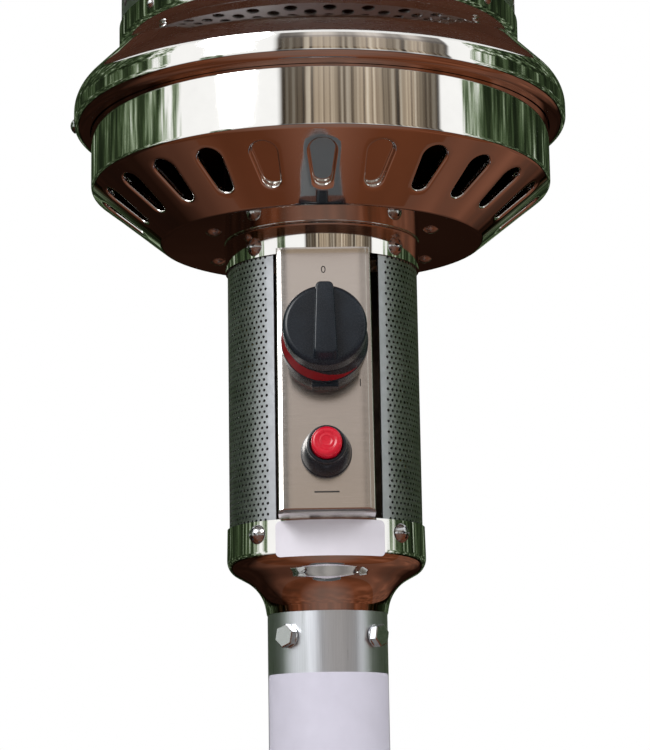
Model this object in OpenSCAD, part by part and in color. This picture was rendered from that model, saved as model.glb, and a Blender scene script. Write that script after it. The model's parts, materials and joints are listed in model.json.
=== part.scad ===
// Free-standing propane patio heater: base with wheels, tank housing, post, control head, burner
// and reflector.
// Millimetres. +Z is up, the control panel faces -Y, and the origin is on the floor under the post's axis.

/* [Base] */
// Radius of the round base
base_r = 229; // [215:1:250]
// Height of the base's top face above the floor
base_top = 38; // [32:1:50]
// Sheet thickness of the base
base_t = 2; // [1.2:0.1:3]
// Radius of the base's rolled top edge
base_edge_r = 12; // [6:1:16]
// Width of the turned-in rim under the base
rim_w = 20; // [18:1:30]
// Height of the rubber feet under the rim
foot_h = 4; // [3:0.5:6]
// Radius of a rubber foot
foot_r = 8; // [6:0.5:8.5]
// Number of rubber feet
foot_count = 4; // [3:1:6]
// Radius of the recess that takes the gas cylinder's foot ring
seat_r = 112; // [100:1:130]
// Depth of that recess
seat_drop = 6; // [3:0.5:9]

/* [Wheels] */
// Radius of a wheel
wheel_r = 28; // [22:1:32]
// Width of a wheel
wheel_w = 20; // [14:1:26]
// Distance from the middle of the base to the middle of a wheel
wheel_x = 75; // [55:1:95]
// Height of a wheel's tread above the floor while the heater stands upright
wheel_lift = 2; // [1:0.5:5]
// Radius of the axle
axle_r = 4; // [3:0.5:5]
// Sheet thickness of the wheel bracket
bracket_t = 3; // [2:0.5:4]
// Side play between a wheel and its ears
wheel_play = 1; // [0.5:0.1:2]

/* [Legs] */
// Distance from the axis to the outer face of a leg
leg_r = 192; // [180:1:196]
// Width of a leg's flat bar
leg_w = 32; // [24:1:36]
// Thickness of a leg's flat bar
leg_t = 4; // [3:0.5:5]
// Outer radius of the bends of a leg
leg_bend = 14; // [10:1:20]
// Length of the foot tab of a leg
leg_tab = 36; // [30:1:44]
// Slope of the arm that runs in to the post, in degrees
arm_rise = 28; // [20:1:34]
// Distance from the axis to the leg's upper bolt
socket_bolt_r = 47; // [44:1:52]

/* [Tank housing] */
// Radius of the tank housing
housing_r = 205; // [202:1:212]
// Height of the tank housing's wall
housing_h = 520; // [505:1:560]
// Sheet thickness of the tank housing and its lid
housing_t = 0.8; // [0.6:0.1:1.2]
// How far the rolled beads stand out
bead_out = 2; // [1:0.5:3]
// Rise of the lid above the wall
lid_rise = 46; // [42:1:70]
// Gap between the lid's collar and the post
lid_gap = 2; // [1:0.5:3]

/* [Post] */
// Outer radius of the post
post_r = 30; // [28:0.5:32]
// Wall of the post
post_t = 1.5; // [1:0.1:2]
// Length of the post
post_len = 1035; // [900:5:1200]
// Height of the post's lower end above the floor
post_foot = 575; // [570:1:590]

/* [Neck cup] */
// Height of the neck cup above the post
cup_h = 43; // [40:1:55]
// Sheet thickness of the cup, the collar and the pan
chrome_t = 0.8; // [0.6:0.1:1]
// Radius of the hollow curve where the cup leaves the post
cup_cove_r = 19.5; // [16:0.5:22]
// Radius of the cup's rounded shoulder
cup_edge_r = 9; // [6:0.5:10]
// Slope of the cup's underside between the two curves, in degrees
cup_slope = 29; // [22:1:34]
// How far the cup widens from its rim to its shoulder
cup_draft = 0.3; // [0:0.1:0.8]
// Length of the spigot inside the post
spigot_len = 40; // [30:1:60]

/* [Control housing] */
// Outer radius of the perforated sleeve
sleeve_r = 48.6; // [46:0.1:52]
// Sheet thickness of the sleeve
sleeve_t = 0.8; // [0.6:0.1:1]
// Height of the sleeve that shows between cup and collar
sleeve_h = 132.4; // [125:0.1:150]
// Half angle of the sleeve's opening behind the control panel
window_half = 32.5; // [31:0.5:36]
// How far the sleeve reaches into the cup and into the collar
sleeve_tuck = 9; // [8:0.5:11]
// Radius of a hole in the sleeve
hole_r = 1.6; // [1:0.1:1.8]
// Spacing of the holes along a column
hole_pitch = 8; // [7:0.5:12]
// Angle between two columns of holes
hole_step = 8; // [8:1:12]
// Turn of the sleeve and cup on the post, from the panel's middle
housing_turn = 1.9; // [-3:0.1:3]
// Height of the upper collar
collar_h = 14.6; // [13:0.1:20]

/* [Control panel] */
// Width of the control panel
panel_w = 46.5; // [44:0.5:48]
// Lean of the panel's face, in degrees
panel_lean = 7; // [4:0.5:9]
// Sheet thickness of the panel
panel_t = 0.8; // [0.6:0.1:1]
// Radius of the panel's side edges
panel_edge_r = 2.5; // [2:0.1:4]
// Radius of the panel's lower edge
panel_low_r = 5; // [3:0.5:7]
// Height of the knob's axis above the cup, at the panel's face
knob_up = 83.8; // [78:0.1:95]
// Height of the igniter's axis above the cup, at the panel's face
igniter_up = 29; // [24:0.1:32]

/* [Control knob] */
// Radius of the dial ring at the panel
dial_r = 21.2; // [20:0.1:22]
// Height of the dial ring
dial_h = 15.5; // [13:0.5:17]
// Width of the lug at the foot of the dial ring
lug_w = 12.8; // [9:0.1:14]
// Radius of the knob
knob_r = 20.1; // [18:0.1:20.5]
// Length of the knob from its open back to its face
knob_h = 11.5; // [10:0.5:15]
// Height of the grip bar above the knob's face
grip_h = 6.5; // [5:0.5:10]
// Width of the grip bar
grip_w = 9.5; // [8:0.1:11]
// Distance that the knob can be pushed in
knob_push = 3; // [2:0.5:4]
// Radius of the valve stem
stem_r = 4; // [3:0.1:4.2]
// Radius of the turning plug in the valve
plug_r = 8; // [7:0.1:9]
// Turns of the spring behind the knob
stem_turns = 5; // [3:1:6]

/* [Igniter] */
// Radius of the igniter's push button
button_r = 7.3; // [6:0.1:7.6]
// Radius of the igniter nut's flange
nut_r = 12.3; // [11.5:0.1:13.5]
// Height of the igniter nut
nut_h = 17; // [15:0.5:19]
// Length of the igniter behind the panel
igniter_len = 40; // [36:1:46]
// Turns of the spring behind the button
button_turns = 6; // [4:1:7]

/* [Burner pan] */
// Radius of the pan's flat floor
floor_r = 82.4; // [80:0.1:88]
// Radius of the pan's upright band
pan_r = 118.5; // [112:0.5:124]
// Height of the slotted cone
cone_h = 28.7; // [24:0.1:34]
// Height of the upright band
band_h = 40; // [36:1:50]
// Number of slots round the cone
slot_count = 24; // [12:1:26]
// Width of a slot at its outer end
slot_wide = 12.5; // [10:0.1:13.5]
// Width of a slot at its inner end
slot_narrow = 8.6; // [7:0.1:9.5]
// Distance from the axis to the inner end of a slot
slot_in_r = 91.5; // [90:0.1:94]
// Distance from the axis to the outer end of a slot
slot_out_r = 112.5; // [108:0.1:113]
// Depth of the rolled-in lip of a slot
slot_lip = 3; // [2:0.1:4]
// Distance from the axis to the rivets in the floor
rivet_r = 63; // [60:0.5:66]

/* [Shoulder ring] */
// Gap between the pan's band and the ring's lower lip
ring_gap = 8.1; // [7:0.1:10]
// Height of the ring's lower lip above the cone
ring_up = 30.3; // [29:0.1:32]
// Sheet thickness of the ring, the emitter screen and its cap
emitter_t = 0.8; // [0.6:0.1:1]
// Radius of the emitter screen
emitter_r = 103; // [98:0.5:106]
// Height of the emitter screen above the ring
emitter_h = 190; // [160:1:220]
// Radius of a hole in the emitter screen
port_r = 5; // [4:0.5:6]
// Number of columns of holes in the emitter screen
port_columns = 20; // [16:2:24]

/* [Burner] */
// Radius of the mixing tube
venturi_r = 13; // [11:0.5:14]
// Radius of the burner head
burner_r = 27; // [24:0.5:28]
// Height of the burner mount above the pan's floor
mount_h = 50; // [44:1:56]
// Outer radius of the main gas tube
gas_tube_r = 4.8; // [4:0.1:5.5]
// Outer radius of the pilot tube
pilot_tube_r = 2; // [1.5:0.1:2.4]

/* [Reflector] */
// Radius of the reflector
reflector_r = 406.5; // [380:1:430]
// Height of the reflector's dome
reflector_rise = 86; // [70:1:110]
// Sheet thickness of the reflector
reflector_t = 1; // [0.8:0.1:1.5]
// Height of the reflector's crown above the emitter's cap
stud_h = 92; // [88:1:110]
// Distance from the axis to a stud
stud_place_r = 68; // [60:1:72]

/* [Fits] */
// Gap between two fixed pieces that slip together
slip = 0.3; // [0.2:0.05:0.4]
// Radial clearance of a turning or sliding fit
running = 0.05; // [0.03:0.01:0.08]
// Clearance round a screw in its hole
screw_gap = 0.2; // [0.1:0.05:0.3]

/* [Hidden] */
$fn = 64;

// Steps of a rounded stretch of an outline
arc_steps = 6;
// Room that a cutter runs past the face it cuts
over = 1;

// Colours as the finished pieces look
chrome = "gainsboro";
satin = "silver";
zinc = "darkgray";
paint = "dimgray";
black = "black";
brass = "goldenrod";

// Heights of the control head
post_top = post_foot + post_len;
cup_top = post_top + cup_h;
collar_low = cup_top + sleeve_h;
pan_z = collar_low + collar_h;
cone_top = pan_z + cone_h;
band_top = cone_top + band_h;

// Radii of the pieces that slip over the sleeve
cup_rim_r = sleeve_r + slip + chrome_t;
cup_r = cup_rim_r + cup_draft;
collar_r = sleeve_r + slip + chrome_t;
flange_in_r = collar_r - chrome_t - 9;
pan_screw_r = flange_in_r + 4.5;

// Small fasteners: shank radius, head radius and head height
m6 = 3;
m6_head_r = 5.8;
m6_head_h = 4;
m4 = 2;
m4_head_r = 4;
m4_head_h = 2.4;
m3 = 1.5;
m3_head_r = 2.8;
m3_head_h = 1.8;

function reversed(p) = [for (i = [len(p) - 1 : -1 : 0]) p[i]];
function unit(v) = v / norm(v);
function left_of(v) = [-v[1], v[0]];
function step_normal(p, i) = left_of(unit(p[i + 1] - p[i]));

// Mitred normal at point i of an open outline, towards the left of its run
function miter(p, i) =
  let (
    last = len(p) - 1,
    before = step_normal(p, max(i - 1, 0)),
    after = step_normal(p, min(i, last - 1)),
    middle = unit(before + after)
  )
  middle / (middle * after);

function inner_side(p, t) = [for (i = [0 : len(p) - 1]) p[i] + t * miter(p, i)];

function arc(centre, r, from, to, steps = arc_steps) =
  [for (i = [0 : steps]) let (a = from + (to - from) * i / steps) centre + r * [cos(a), sin(a)]];

// Cross-section of bent sheet: its outer side is the path, and the wall lies on the path's left
module bent_sheet(path, t) {
  polygon(concat(path, reversed(inner_side(path, t))));
}

module spun_sheet(path, t) {
  rotate_extrude($fn = 96)
    bent_sheet(path, t);
}

// Puts children at a direction from the front: 0 is the panel's middle, and it grows towards +X
module facing(az) {
  rotate([0, 0, az - 90])
    children();
}

// Places children on a radius with their +Z pointing away from the axis
module outward(az, r, z) {
  facing(az)
    translate([r, 0, z])
      rotate([0, 90, 0])
        children();
}

module tube(h, r, wall) {
  difference() {
    cylinder(h = h, r = r);
    translate([0, 0, -over])
      cylinder(h = h + 2 * over, r = r - wall);
  }
}

// Hexagon-head bolt whose head stands on z = 0 and whose shank runs down
module hex_bolt(shank_r, head_r, head_h, length) {
  cylinder(h = head_h, r = head_r, $fn = 6);
  translate([0, 0, -length])
    cylinder(h = length + head_h / 2, r = shank_r);
}

// Dome-head screw whose head stands on z = 0 and whose shank runs down
module dome_screw(shank_r, head_r, head_h, length) {
  ball_r = (head_r * head_r + head_h * head_h) / (2 * head_h);
  intersection() {
    translate([0, 0, head_h - ball_r])
      sphere(r = ball_r);
    cylinder(h = head_h + over, r = head_r);
  }
  translate([0, 0, -length])
    cylinder(h = length + head_h / 2, r = shank_r);
}

// One unbroken helical wire from z = 0 to z = length, made of rings along the helix
spring_rings = 8;
wire_sides = 6;

function helix_point(i, mean_r, turns, length, wire) =
  let (a = 360 * i / spring_rings, rise = (length - 2 * wire) * i / (turns * spring_rings))
  [mean_r * cos(a), mean_r * sin(a), wire + rise];

function wire_ring(c, a, wire) =
  [for (k = [0 : wire_sides - 1])
    let (b = 360 * k / wire_sides)
    c + wire * [cos(b) * cos(a), cos(b) * sin(a), sin(b)]];

module coil_spring(mean_r, turns, length, wire) {
  count = turns * spring_rings;
  points = [for (i = [0 : count])
    each wire_ring(helix_point(i, mean_r, turns, length, wire), 360 * i / spring_rings, wire)];
  sides = [for (i = [0 : count - 1]) for (k = [0 : wire_sides - 1])
    let (a = i * wire_sides + k, b = i * wire_sides + (k + 1) % wire_sides)
    each [[a, a + wire_sides, b], [b, a + wire_sides, b + wire_sides]]];
  start = [for (k = [1 : wire_sides - 2]) [0, k, k + 1]];
  first = count * wire_sides;
  end = [for (k = [1 : wire_sides - 2]) [first, first + k + 1, first + k]];
  gap = (length - 2 * wire) / turns - 2 * wire;
  echo(str("least gap between turns: ", gap));
  polyhedron(points = points, faces = concat(sides, start, end));
}

// Base

rim_edge_r = 3;
foot_place_r = base_r - rim_w / 2;
foot_stem_r = 3;
leg_bolt_r = leg_r - leg_tab / 2 - 3;
leg_angles = [-60, 60, 180];
wheel_bolt_az = [170, 190];
wheel_bolt_z = base_top - base_edge_r - m4_head_r;

function base_path() = concat(
  [[base_r - rim_w, foot_h]],
  arc([base_r - rim_edge_r, foot_h + rim_edge_r], rim_edge_r, -90, 0, 3),
  arc([base_r - base_edge_r, base_top - base_edge_r], base_edge_r, 0, 90),
  [[seat_r + seat_drop, base_top], [seat_r, base_top - seat_drop], [0, base_top - seat_drop]]);

module base_plate() {
  color(paint)
    difference() {
      spun_sheet(base_path(), base_t);
      for (k = [0 : foot_count - 1])
        facing(45 + 360 * k / foot_count)
          translate([foot_place_r, 0, foot_h - over])
            cylinder(h = base_t + 2 * over, r = foot_stem_r + screw_gap);
      for (az = leg_angles)
        facing(az)
          translate([leg_bolt_r, 0, base_top - base_t - over])
            cylinder(h = base_t + 2 * over, r = m6 + screw_gap);
      for (az = wheel_bolt_az)
        outward(az, base_r - base_t - over, wheel_bolt_z)
          cylinder(h = base_t + 2 * over, r = m4 + screw_gap);
    }
}

module base_feet() {
  barb_r = foot_stem_r + 1.5;
  barb_z = foot_h + base_t;
  color(black)
    for (k = [0 : foot_count - 1])
      facing(45 + 360 * k / foot_count)
        translate([foot_place_r, 0, 0])
          rotate_extrude()
            polygon([
              [0, 0], [foot_r - 1, 0], [foot_r, 1], [foot_r, foot_h], [foot_stem_r, foot_h],
              [foot_stem_r, barb_z], [barb_r, barb_z], [foot_stem_r, barb_z + 4], [0, barb_z + 4]
            ]);
}

// Wheels

axle_z = wheel_r + wheel_lift;
bracket_r = base_r + slip;
axle_y = bracket_r + bracket_t + wheel_r + 4;
ear_gap = wheel_w / 2 + wheel_play;
bracket_low = foot_h + rim_edge_r;
bracket_high = base_top - base_edge_r;
ear_r = axle_r + 6;
axle_end = wheel_x + ear_gap + bracket_t;
bracket_half = asin((axle_end + 2) / bracket_r);

module wheel_bracket() {
  color(paint)
    difference() {
      union() {
        facing(180 - bracket_half)
          rotate_extrude(angle = 2 * bracket_half, $fn = 96)
            translate([bracket_r, bracket_low])
              square([bracket_t, bracket_high - bracket_low]);
        for (side = [-1, 1]) for (edge = [-1, 1])
          translate([side * wheel_x + edge * (ear_gap + bracket_t / 2) - bracket_t / 2, 0, 0])
            wheel_ear();
      }
      translate([-axle_end - over, axle_y, axle_z])
        rotate([0, 90, 0])
          cylinder(h = 2 * (axle_end + over), r = axle_r + running);
      for (az = wheel_bolt_az)
        outward(az, bracket_r - over, wheel_bolt_z)
          cylinder(h = bracket_t + 2 * over, r = m4 + screw_gap);
      cylinder(h = base_top, r = bracket_r);
    }
}

// Upright ear that carries the axle, from the bracket's curved plate out to the axle
module wheel_ear() {
  inner_y = sqrt(pow(bracket_r, 2) - pow(axle_end, 2));
  rotate([90, 0, 90])
    linear_extrude(bracket_t) {
      translate([axle_y, axle_z])
        circle(r = ear_r);
      polygon([
        [inner_y, bracket_low], [axle_y, axle_z - ear_r],
        [axle_y, axle_z + ear_r], [inner_y, bracket_high]
      ]);
    }
}

module wheel_bolts() {
  color(zinc)
    for (az = wheel_bolt_az)
      outward(az, bracket_r + bracket_t, wheel_bolt_z)
        hex_bolt(m4, m4_head_r, m4_head_h, bracket_t + slip + base_t + 4);
}

module wheel_axle() {
  cap_h = 3;
  cap_r = axle_r + 2.5;
  half = axle_end + 1;
  color(zinc)
    translate([-half - cap_h, axle_y, axle_z])
      rotate([0, 90, 0]) {
        cylinder(h = 2 * (half + cap_h), r = axle_r);
        for (z = [0, 2 * half + cap_h])
          translate([0, 0, z])
            cylinder(h = cap_h, r = cap_r);
      }
}

// Moulded wheel: tread with rounded shoulders, dished sides, hub
module wheel(x) {
  half = wheel_w / 2;
  hub_r = axle_r + 5;
  rim_in = wheel_r - 7;
  dish = half - 4;
  color(black)
    translate([x, axle_y, axle_z])
      rotate([0, 90, 0])
        rotate_extrude($fn = 72)
          polygon(concat(
            [[axle_r + running, -half], [hub_r, -half], [hub_r + 1, -dish], [rim_in, -dish],
             [rim_in + 1, -half]],
            arc([wheel_r - 3, -half + 3], 3, -90, 0, 4),
            arc([wheel_r - 3, half - 3], 3, 0, 90, 4),
            [[rim_in + 1, half], [rim_in, dish], [hub_r + 1, dish], [hub_r, half],
             [axle_r + running, half]]));
}

module wheel_left() {
  wheel(-wheel_x);
}

module wheel_right() {
  wheel(wheel_x);
}

// Legs and post socket

socket_t = 4;
socket_r = socket_bolt_r + 11;
socket_wall = 3;
socket_spigot_h = 60;
socket_z = post_foot - socket_t;
spigot_r = post_r - post_t - screw_gap;
arm_in_r = socket_r + 14;
leg_shoulder_z = socket_z - leg_bend - (leg_r - leg_bend - arm_in_r) * tan(arm_rise);

function leg_path() = concat(
  [[leg_r - leg_tab, base_top]],
  arc([leg_r - leg_bend, base_top + leg_bend], leg_bend, -90, 0),
  arc([leg_r - leg_bend, leg_shoulder_z], leg_bend, 0, 90 - arm_rise),
  arc([arm_in_r, socket_z - leg_bend], leg_bend, 90 - arm_rise, 90, 3),
  [[socket_bolt_r - 11, socket_z]]);

module leg(az) {
  color(paint)
    facing(az)
      difference() {
        rotate([90, 0, 0])
          linear_extrude(leg_w, center = true)
            bent_sheet(leg_path(), leg_t);
        translate([leg_bolt_r, 0, base_top - over])
          cylinder(h = leg_t + 2 * over, r = m6 + screw_gap);
        translate([socket_bolt_r, 0, socket_z - leg_t - over])
          cylinder(h = leg_t + 2 * over, r = m6 + screw_gap);
      }
}

module leg_left() {
  leg(leg_angles[0]);
}

module leg_right() {
  leg(leg_angles[1]);
}

module leg_rear() {
  leg(leg_angles[2]);
}

module leg_bolts() {
  color(zinc)
    for (az = leg_angles)
      facing(az) {
        translate([leg_bolt_r, 0, base_top + leg_t])
          hex_bolt(m6, m6_head_r, m6_head_h, leg_t + base_t + 6);
        translate([socket_bolt_r, 0, socket_z + socket_t])
          hex_bolt(m6, m6_head_r, m6_head_h, leg_t + socket_t + 8);
      }
}

socket_bolt_z = post_foot + 11;
socket_bolt_az = [-90, 90];

module post_socket() {
  color(paint)
    difference() {
      union() {
        translate([0, 0, socket_z])
          cylinder(h = socket_t, r = socket_r);
        translate([0, 0, socket_z])
          cylinder(h = socket_t + socket_spigot_h, r = spigot_r);
      }
      translate([0, 0, socket_z - over])
        cylinder(h = socket_t + socket_spigot_h + 2 * over, r = spigot_r - socket_wall);
      for (az = leg_angles)
        facing(az)
          translate([socket_bolt_r, 0, socket_z - over])
            cylinder(h = socket_t + 2 * over, r = m6 + screw_gap);
      for (az = socket_bolt_az)
        outward(az, spigot_r - socket_wall - over, socket_bolt_z)
          cylinder(h = socket_wall + 2 * over, r = m6 + screw_gap);
    }
}

module socket_bolts() {
  color(zinc)
    for (az = socket_bolt_az)
      outward(az, post_r, socket_bolt_z)
        hex_bolt(m6, m6_head_r, m6_head_h, post_t + socket_wall + 5);
}

// Tank housing, which lifts up the post to reach the gas cylinder

housing_top = base_top + housing_h;
lid_skirt_r = housing_r - housing_t - slip;
lid_skirt_h = 16;
lid_top = housing_top + lid_rise;
lid_collar_r = post_r + lid_gap + housing_t;
lid_screw_z = housing_top - 7;
lid_screw_az = [45, 135, 225, 315];

function bead(z) = [
  [housing_r, z], [housing_r + bead_out, z + bead_out], [housing_r + bead_out, z + 3 * bead_out],
  [housing_r, z + 4 * bead_out]
];

function housing_path() = concat(
  [[housing_r, base_top]],
  bead(base_top + 8),
  bead(housing_top - lid_skirt_h - 14),
  [[housing_r, housing_top]]);

module tank_housing() {
  color(satin)
    difference() {
      spun_sheet(housing_path(), housing_t);
      lid_screw_holes();
    }
}

module lid_screw_holes() {
  for (az = lid_screw_az)
    outward(az, lid_skirt_r - housing_t - over, lid_screw_z)
      cylinder(h = 2 * housing_t + slip + 2 * over, r = m4 + screw_gap);
}

function lid_path() = concat(
  [[lid_skirt_r, housing_top - lid_skirt_h]],
  arc([lid_skirt_r - 6, housing_top], 6, 0, 75, 4),
  arc([lid_collar_r + 8, lid_top], 8, 255, 180, 4),
  [[lid_collar_r, lid_top + 6]]);

module housing_lid() {
  color(paint)
    difference() {
      spun_sheet(lid_path(), housing_t);
      lid_screw_holes();
    }
}

module lid_screws() {
  color(zinc)
    for (az = lid_screw_az)
      outward(az, housing_r, lid_screw_z)
        dome_screw(m4, m4_head_r, m4_head_h, 2 * housing_t + slip + 4);
}

// Post and neck cup

neck_r = post_r + 0.6;
post_bolt_z = post_top - 12;
post_bolt_az = [-39.5, 50.5, 140.5, 230.5];
cup_screw_z = cup_top - 6.4;
collar_screw_z = collar_low + 5.6;
housing_screw_az = [for (k = [0 : 3]) 45 + 90 * k + housing_turn];

module post() {
  color(satin)
    difference() {
      translate([0, 0, post_foot])
        tube(post_len, post_r, post_t);
      for (az = socket_bolt_az)
        outward(az, post_r - post_t - over, socket_bolt_z)
          cylinder(h = post_t + 2 * over, r = m6 + screw_gap);
      for (az = post_bolt_az)
        outward(az, post_r - post_t - over, post_bolt_z)
          cylinder(h = post_t + 2 * over, r = m6 + screw_gap);
    }
}

module post_bolts() {
  color(zinc)
    for (az = post_bolt_az)
      outward(az, post_r, post_bolt_z)
        hex_bolt(m6, m6_head_r, m6_head_h, post_t + chrome_t + 6);
}

function cup_path() =
  let (
    turn = 90 - cup_slope,
    cove_end = [neck_r + cup_cove_r * (1 - cos(turn)), post_top + cup_cove_r * sin(turn)],
    edge_start_r = cup_r - cup_edge_r + cup_edge_r * cos(turn),
    edge_z = cove_end[1] + (edge_start_r - cove_end[0]) * tan(cup_slope) + cup_edge_r * sin(turn)
  )
  concat(
    [[spigot_r, post_top - spigot_len], [spigot_r, post_top]],
    arc([neck_r + cup_cove_r, post_top], cup_cove_r, 180, 180 - turn),
    arc([cup_r - cup_edge_r, edge_z], cup_edge_r, -turn, 0),
    [[cup_rim_r, cup_top]]);

module neck_cup() {
  color(chrome)
    difference() {
      spun_sheet(cup_path(), chrome_t);
      for (az = housing_screw_az)
        outward(az, cup_rim_r - chrome_t - over, cup_screw_z)
          cylinder(h = chrome_t + cup_draft + 2 * over, r = m4 + screw_gap);
      for (az = post_bolt_az)
        outward(az, spigot_r - chrome_t - over, post_bolt_z)
          cylinder(h = chrome_t + 2 * over, r = m6 + screw_gap);
    }
}

// Control housing

sleeve_low = cup_top - sleeve_tuck;
sleeve_high = collar_low + sleeve_tuck;
// Flats per column of holes, so that every hole goes square through a flat
sleeve_span = 360 - 2 * window_half;
hole_columns = floor((sleeve_span - 4) / hole_step);
column_start = window_half + (sleeve_span - hole_columns * hole_step) / 2;
hole_rows = floor((sleeve_h - 2 * hole_r - hole_pitch / 2) / hole_pitch);
hole_margin = (sleeve_h - (hole_rows - 0.5) * hole_pitch) / 2;

// Height of a hole: every second column is raised by half a pitch
function hole_z(column, row) = cup_top + hole_margin + (row + (column % 2) / 2) * hole_pitch;

// Wall of the sleeve: one flat for each column of holes
function sleeve_side(r) = concat(
  [[r * cos(window_half), r * sin(window_half)]],
  [for (k = [0 : hole_columns]) let (a = column_start + k * hole_step) r * [cos(a), sin(a)]],
  [[r * cos(360 - window_half), r * sin(360 - window_half)]]);

module perforated_sleeve() {
  flat = cos(hole_step / 2);
  color(satin)
    facing(housing_turn)
      difference() {
        translate([0, 0, sleeve_low])
          linear_extrude(sleeve_high - sleeve_low)
            polygon(concat(sleeve_side(sleeve_r), reversed(sleeve_side(sleeve_r - sleeve_t))));
        for (k = [0 : hole_columns - 1]) for (row = [0 : hole_rows - 1])
          rotate([0, 0, column_start + (k + 0.5) * hole_step])
            translate([sleeve_r * flat - sleeve_t - over, 0, hole_z(k, row)])
              rotate([0, 90, 0])
                cylinder(h = sleeve_t + 2 * over, r = hole_r);
        for (az = housing_screw_az) for (z = [cup_screw_z, collar_screw_z])
          rotate([0, 0, az - housing_turn])
            translate([sleeve_r - sleeve_t - 2 * over, 0, z])
              rotate([0, 90, 0])
                cylinder(h = sleeve_t + 3 * over, r = m4 + screw_gap);
      }
}

// Plain sheet inside the back of the sleeve that keeps wind off the valve, on the upper rear screws
shield_half = 62;
shield_r = (sleeve_r - sleeve_t) * cos(hole_step / 2) - slip;
shield_low = cup_top + 1;

module wind_shield() {
  color(satin)
    difference() {
      facing(180 + housing_turn - shield_half)
        translate([0, 0, shield_low])
          rotate_extrude(angle = 2 * shield_half, $fn = 96)
            translate([shield_r - sleeve_t, 0])
              square([sleeve_t, sleeve_high - shield_low]);
      for (az = housing_screw_az)
        outward(az, shield_r - sleeve_t - over, collar_screw_z)
          cylinder(h = sleeve_t + 2 * over, r = m4 + screw_gap);
    }
}

module upper_collar() {
  fold_r = 1;
  color(chrome)
    difference() {
      spun_sheet(
        concat(
          [[collar_r, collar_low]],
          arc([collar_r - fold_r, pan_z - fold_r], fold_r, 0, 90, 3),
          [[flange_in_r, pan_z]]),
        chrome_t);
      for (az = housing_screw_az)
        outward(az, collar_r - chrome_t - over, collar_screw_z)
          cylinder(h = chrome_t + 2 * over, r = m4 + screw_gap);
      pan_screw_holes();
    }
}

module pan_screw_holes() {
  for (k = [0 : 3])
    facing(45 + 90 * k)
      translate([pan_screw_r, 0, pan_z - chrome_t - over])
        cylinder(h = 2 * chrome_t + 2 * over, r = m3 + screw_gap);
}

module housing_screws() {
  inside = sleeve_t + slip + chrome_t + 4;
  color(zinc)
    for (az = housing_screw_az) {
      outward(az, cup_rim_r + cup_draft, cup_screw_z)
        dome_screw(m4, m4_head_r, m4_head_h, inside);
      outward(az, collar_r, collar_screw_z)
        dome_screw(m4, m4_head_r, m4_head_h, inside);
    }
}

module pan_screws() {
  color(zinc)
    for (k = [0 : 3])
      facing(45 + 90 * k)
        translate([pan_screw_r, 0, pan_z + chrome_t]) {
          dome_screw(m3, m3_head_r, m3_head_h, 2 * chrome_t + 4);
          translate([0, 0, -2 * chrome_t - 2.4])
            cylinder(h = 2.4, r = m3_head_r, $fn = 6);
        }
}

// Control panel: a leaning pressed tray, open at the back

panel_lap = 1.3;
panel_top = collar_low + panel_lap;
panel_out = collar_r + slip + panel_t / cos(panel_lean);
panel_back = sleeve_r * cos(window_half) - 1;
panel_roof = collar_low - slip;
knob_z = cup_top + knob_up;
igniter_z = cup_top + igniter_up;

// Distance from the axis to the panel's face at a height
function face_out(z) = panel_out + (panel_top - z) * tan(panel_lean);

// Places children on the panel's face at a height: +Z points out of the face, and +Y runs up it
module on_panel(z) {
  translate([0, -face_out(z), z])
    rotate([90 - panel_lean, 0, 0])
      children();
}

// Side view of the tray, as distance in front of the axis and height, moved in by a wall
function tray_side(wall, back, roof) =
  let (
    r = panel_low_r - wall,
    low = cup_top + wall,
    shift = wall / cos(panel_lean),
    half = (90 + panel_lean) / 2,
    run = r * tan(90 - half),
    corner = face_out(low) - shift,
    centre = [corner - run, low + r]
  )
  concat(
    [[back, low]],
    arc(centre, r, -90, panel_lean),
    [[face_out(panel_top + over) - shift, panel_top + over], [back, panel_top + over], [back, roof]]);

module tray_block(wall) {
  intersection() {
    rotate([90, 0, -90])
      linear_extrude(panel_w + 2 * over, center = true)
        polygon(tray_side(wall, panel_back - (wall > 0 ? over : 0), panel_roof));
    on_panel((cup_top + panel_top) / 2)
      translate([0, 0, -wall])
        rotate([90, 0, 0])
          linear_extrude(2 * sleeve_h, center = true)
            rounded_front(panel_w - 2 * wall, panel_edge_r - wall);
  }
}

// Width of the tray with rounded front edges, from the face back past the tray
module rounded_front(w, r) {
  depth = 2 * sleeve_r;
  translate([-w / 2, -depth])
    square([w, depth - r]);
  translate([-w / 2 + r, -depth])
    square([w - 2 * r, depth]);
  for (side = [-1, 1])
    translate([side * (w / 2 - r), -r])
      circle(r = r);
}

neck_boss_r = plug_r;
igniter_tube_r = 9;

module control_panel() {
  color("lightgray")
    difference() {
      tray_block(0);
      tray_block(panel_t);
      // Trim above the roof, so that only the face laps over the collar
      translate([0, 0, panel_roof])
        cylinder(h = panel_lap + 2 * over + slip, r = collar_r + slip);
      translate([-panel_w, -2 * panel_out, panel_top])
        cube([2 * panel_w, 4 * panel_out, 3 * over]);
      on_panel(knob_z)
        translate([0, 0, -panel_t - over])
          cylinder(h = panel_t + 2 * over, r = neck_boss_r + screw_gap);
      on_panel(igniter_z)
        translate([0, 0, -panel_t - over])
          cylinder(h = panel_t + 2 * over, r = igniter_tube_r + screw_gap);
      on_panel(knob_z)
        valve_screw_places()
          translate([0, 0, -panel_t - over])
            cylinder(h = panel_t + 2 * over, r = m3 + screw_gap);
    }
}

// Burner pan: flat floor, slotted cone and upright band

slot_angle = 360 / slot_count;
// Turned-over edge of the band, inside the shoulder ring's lip
ring_seat_r = pan_r + ring_gap - slip;
seat_lip = 5.7;
cone_slope = atan2(cone_h, pan_r - floor_r);

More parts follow.
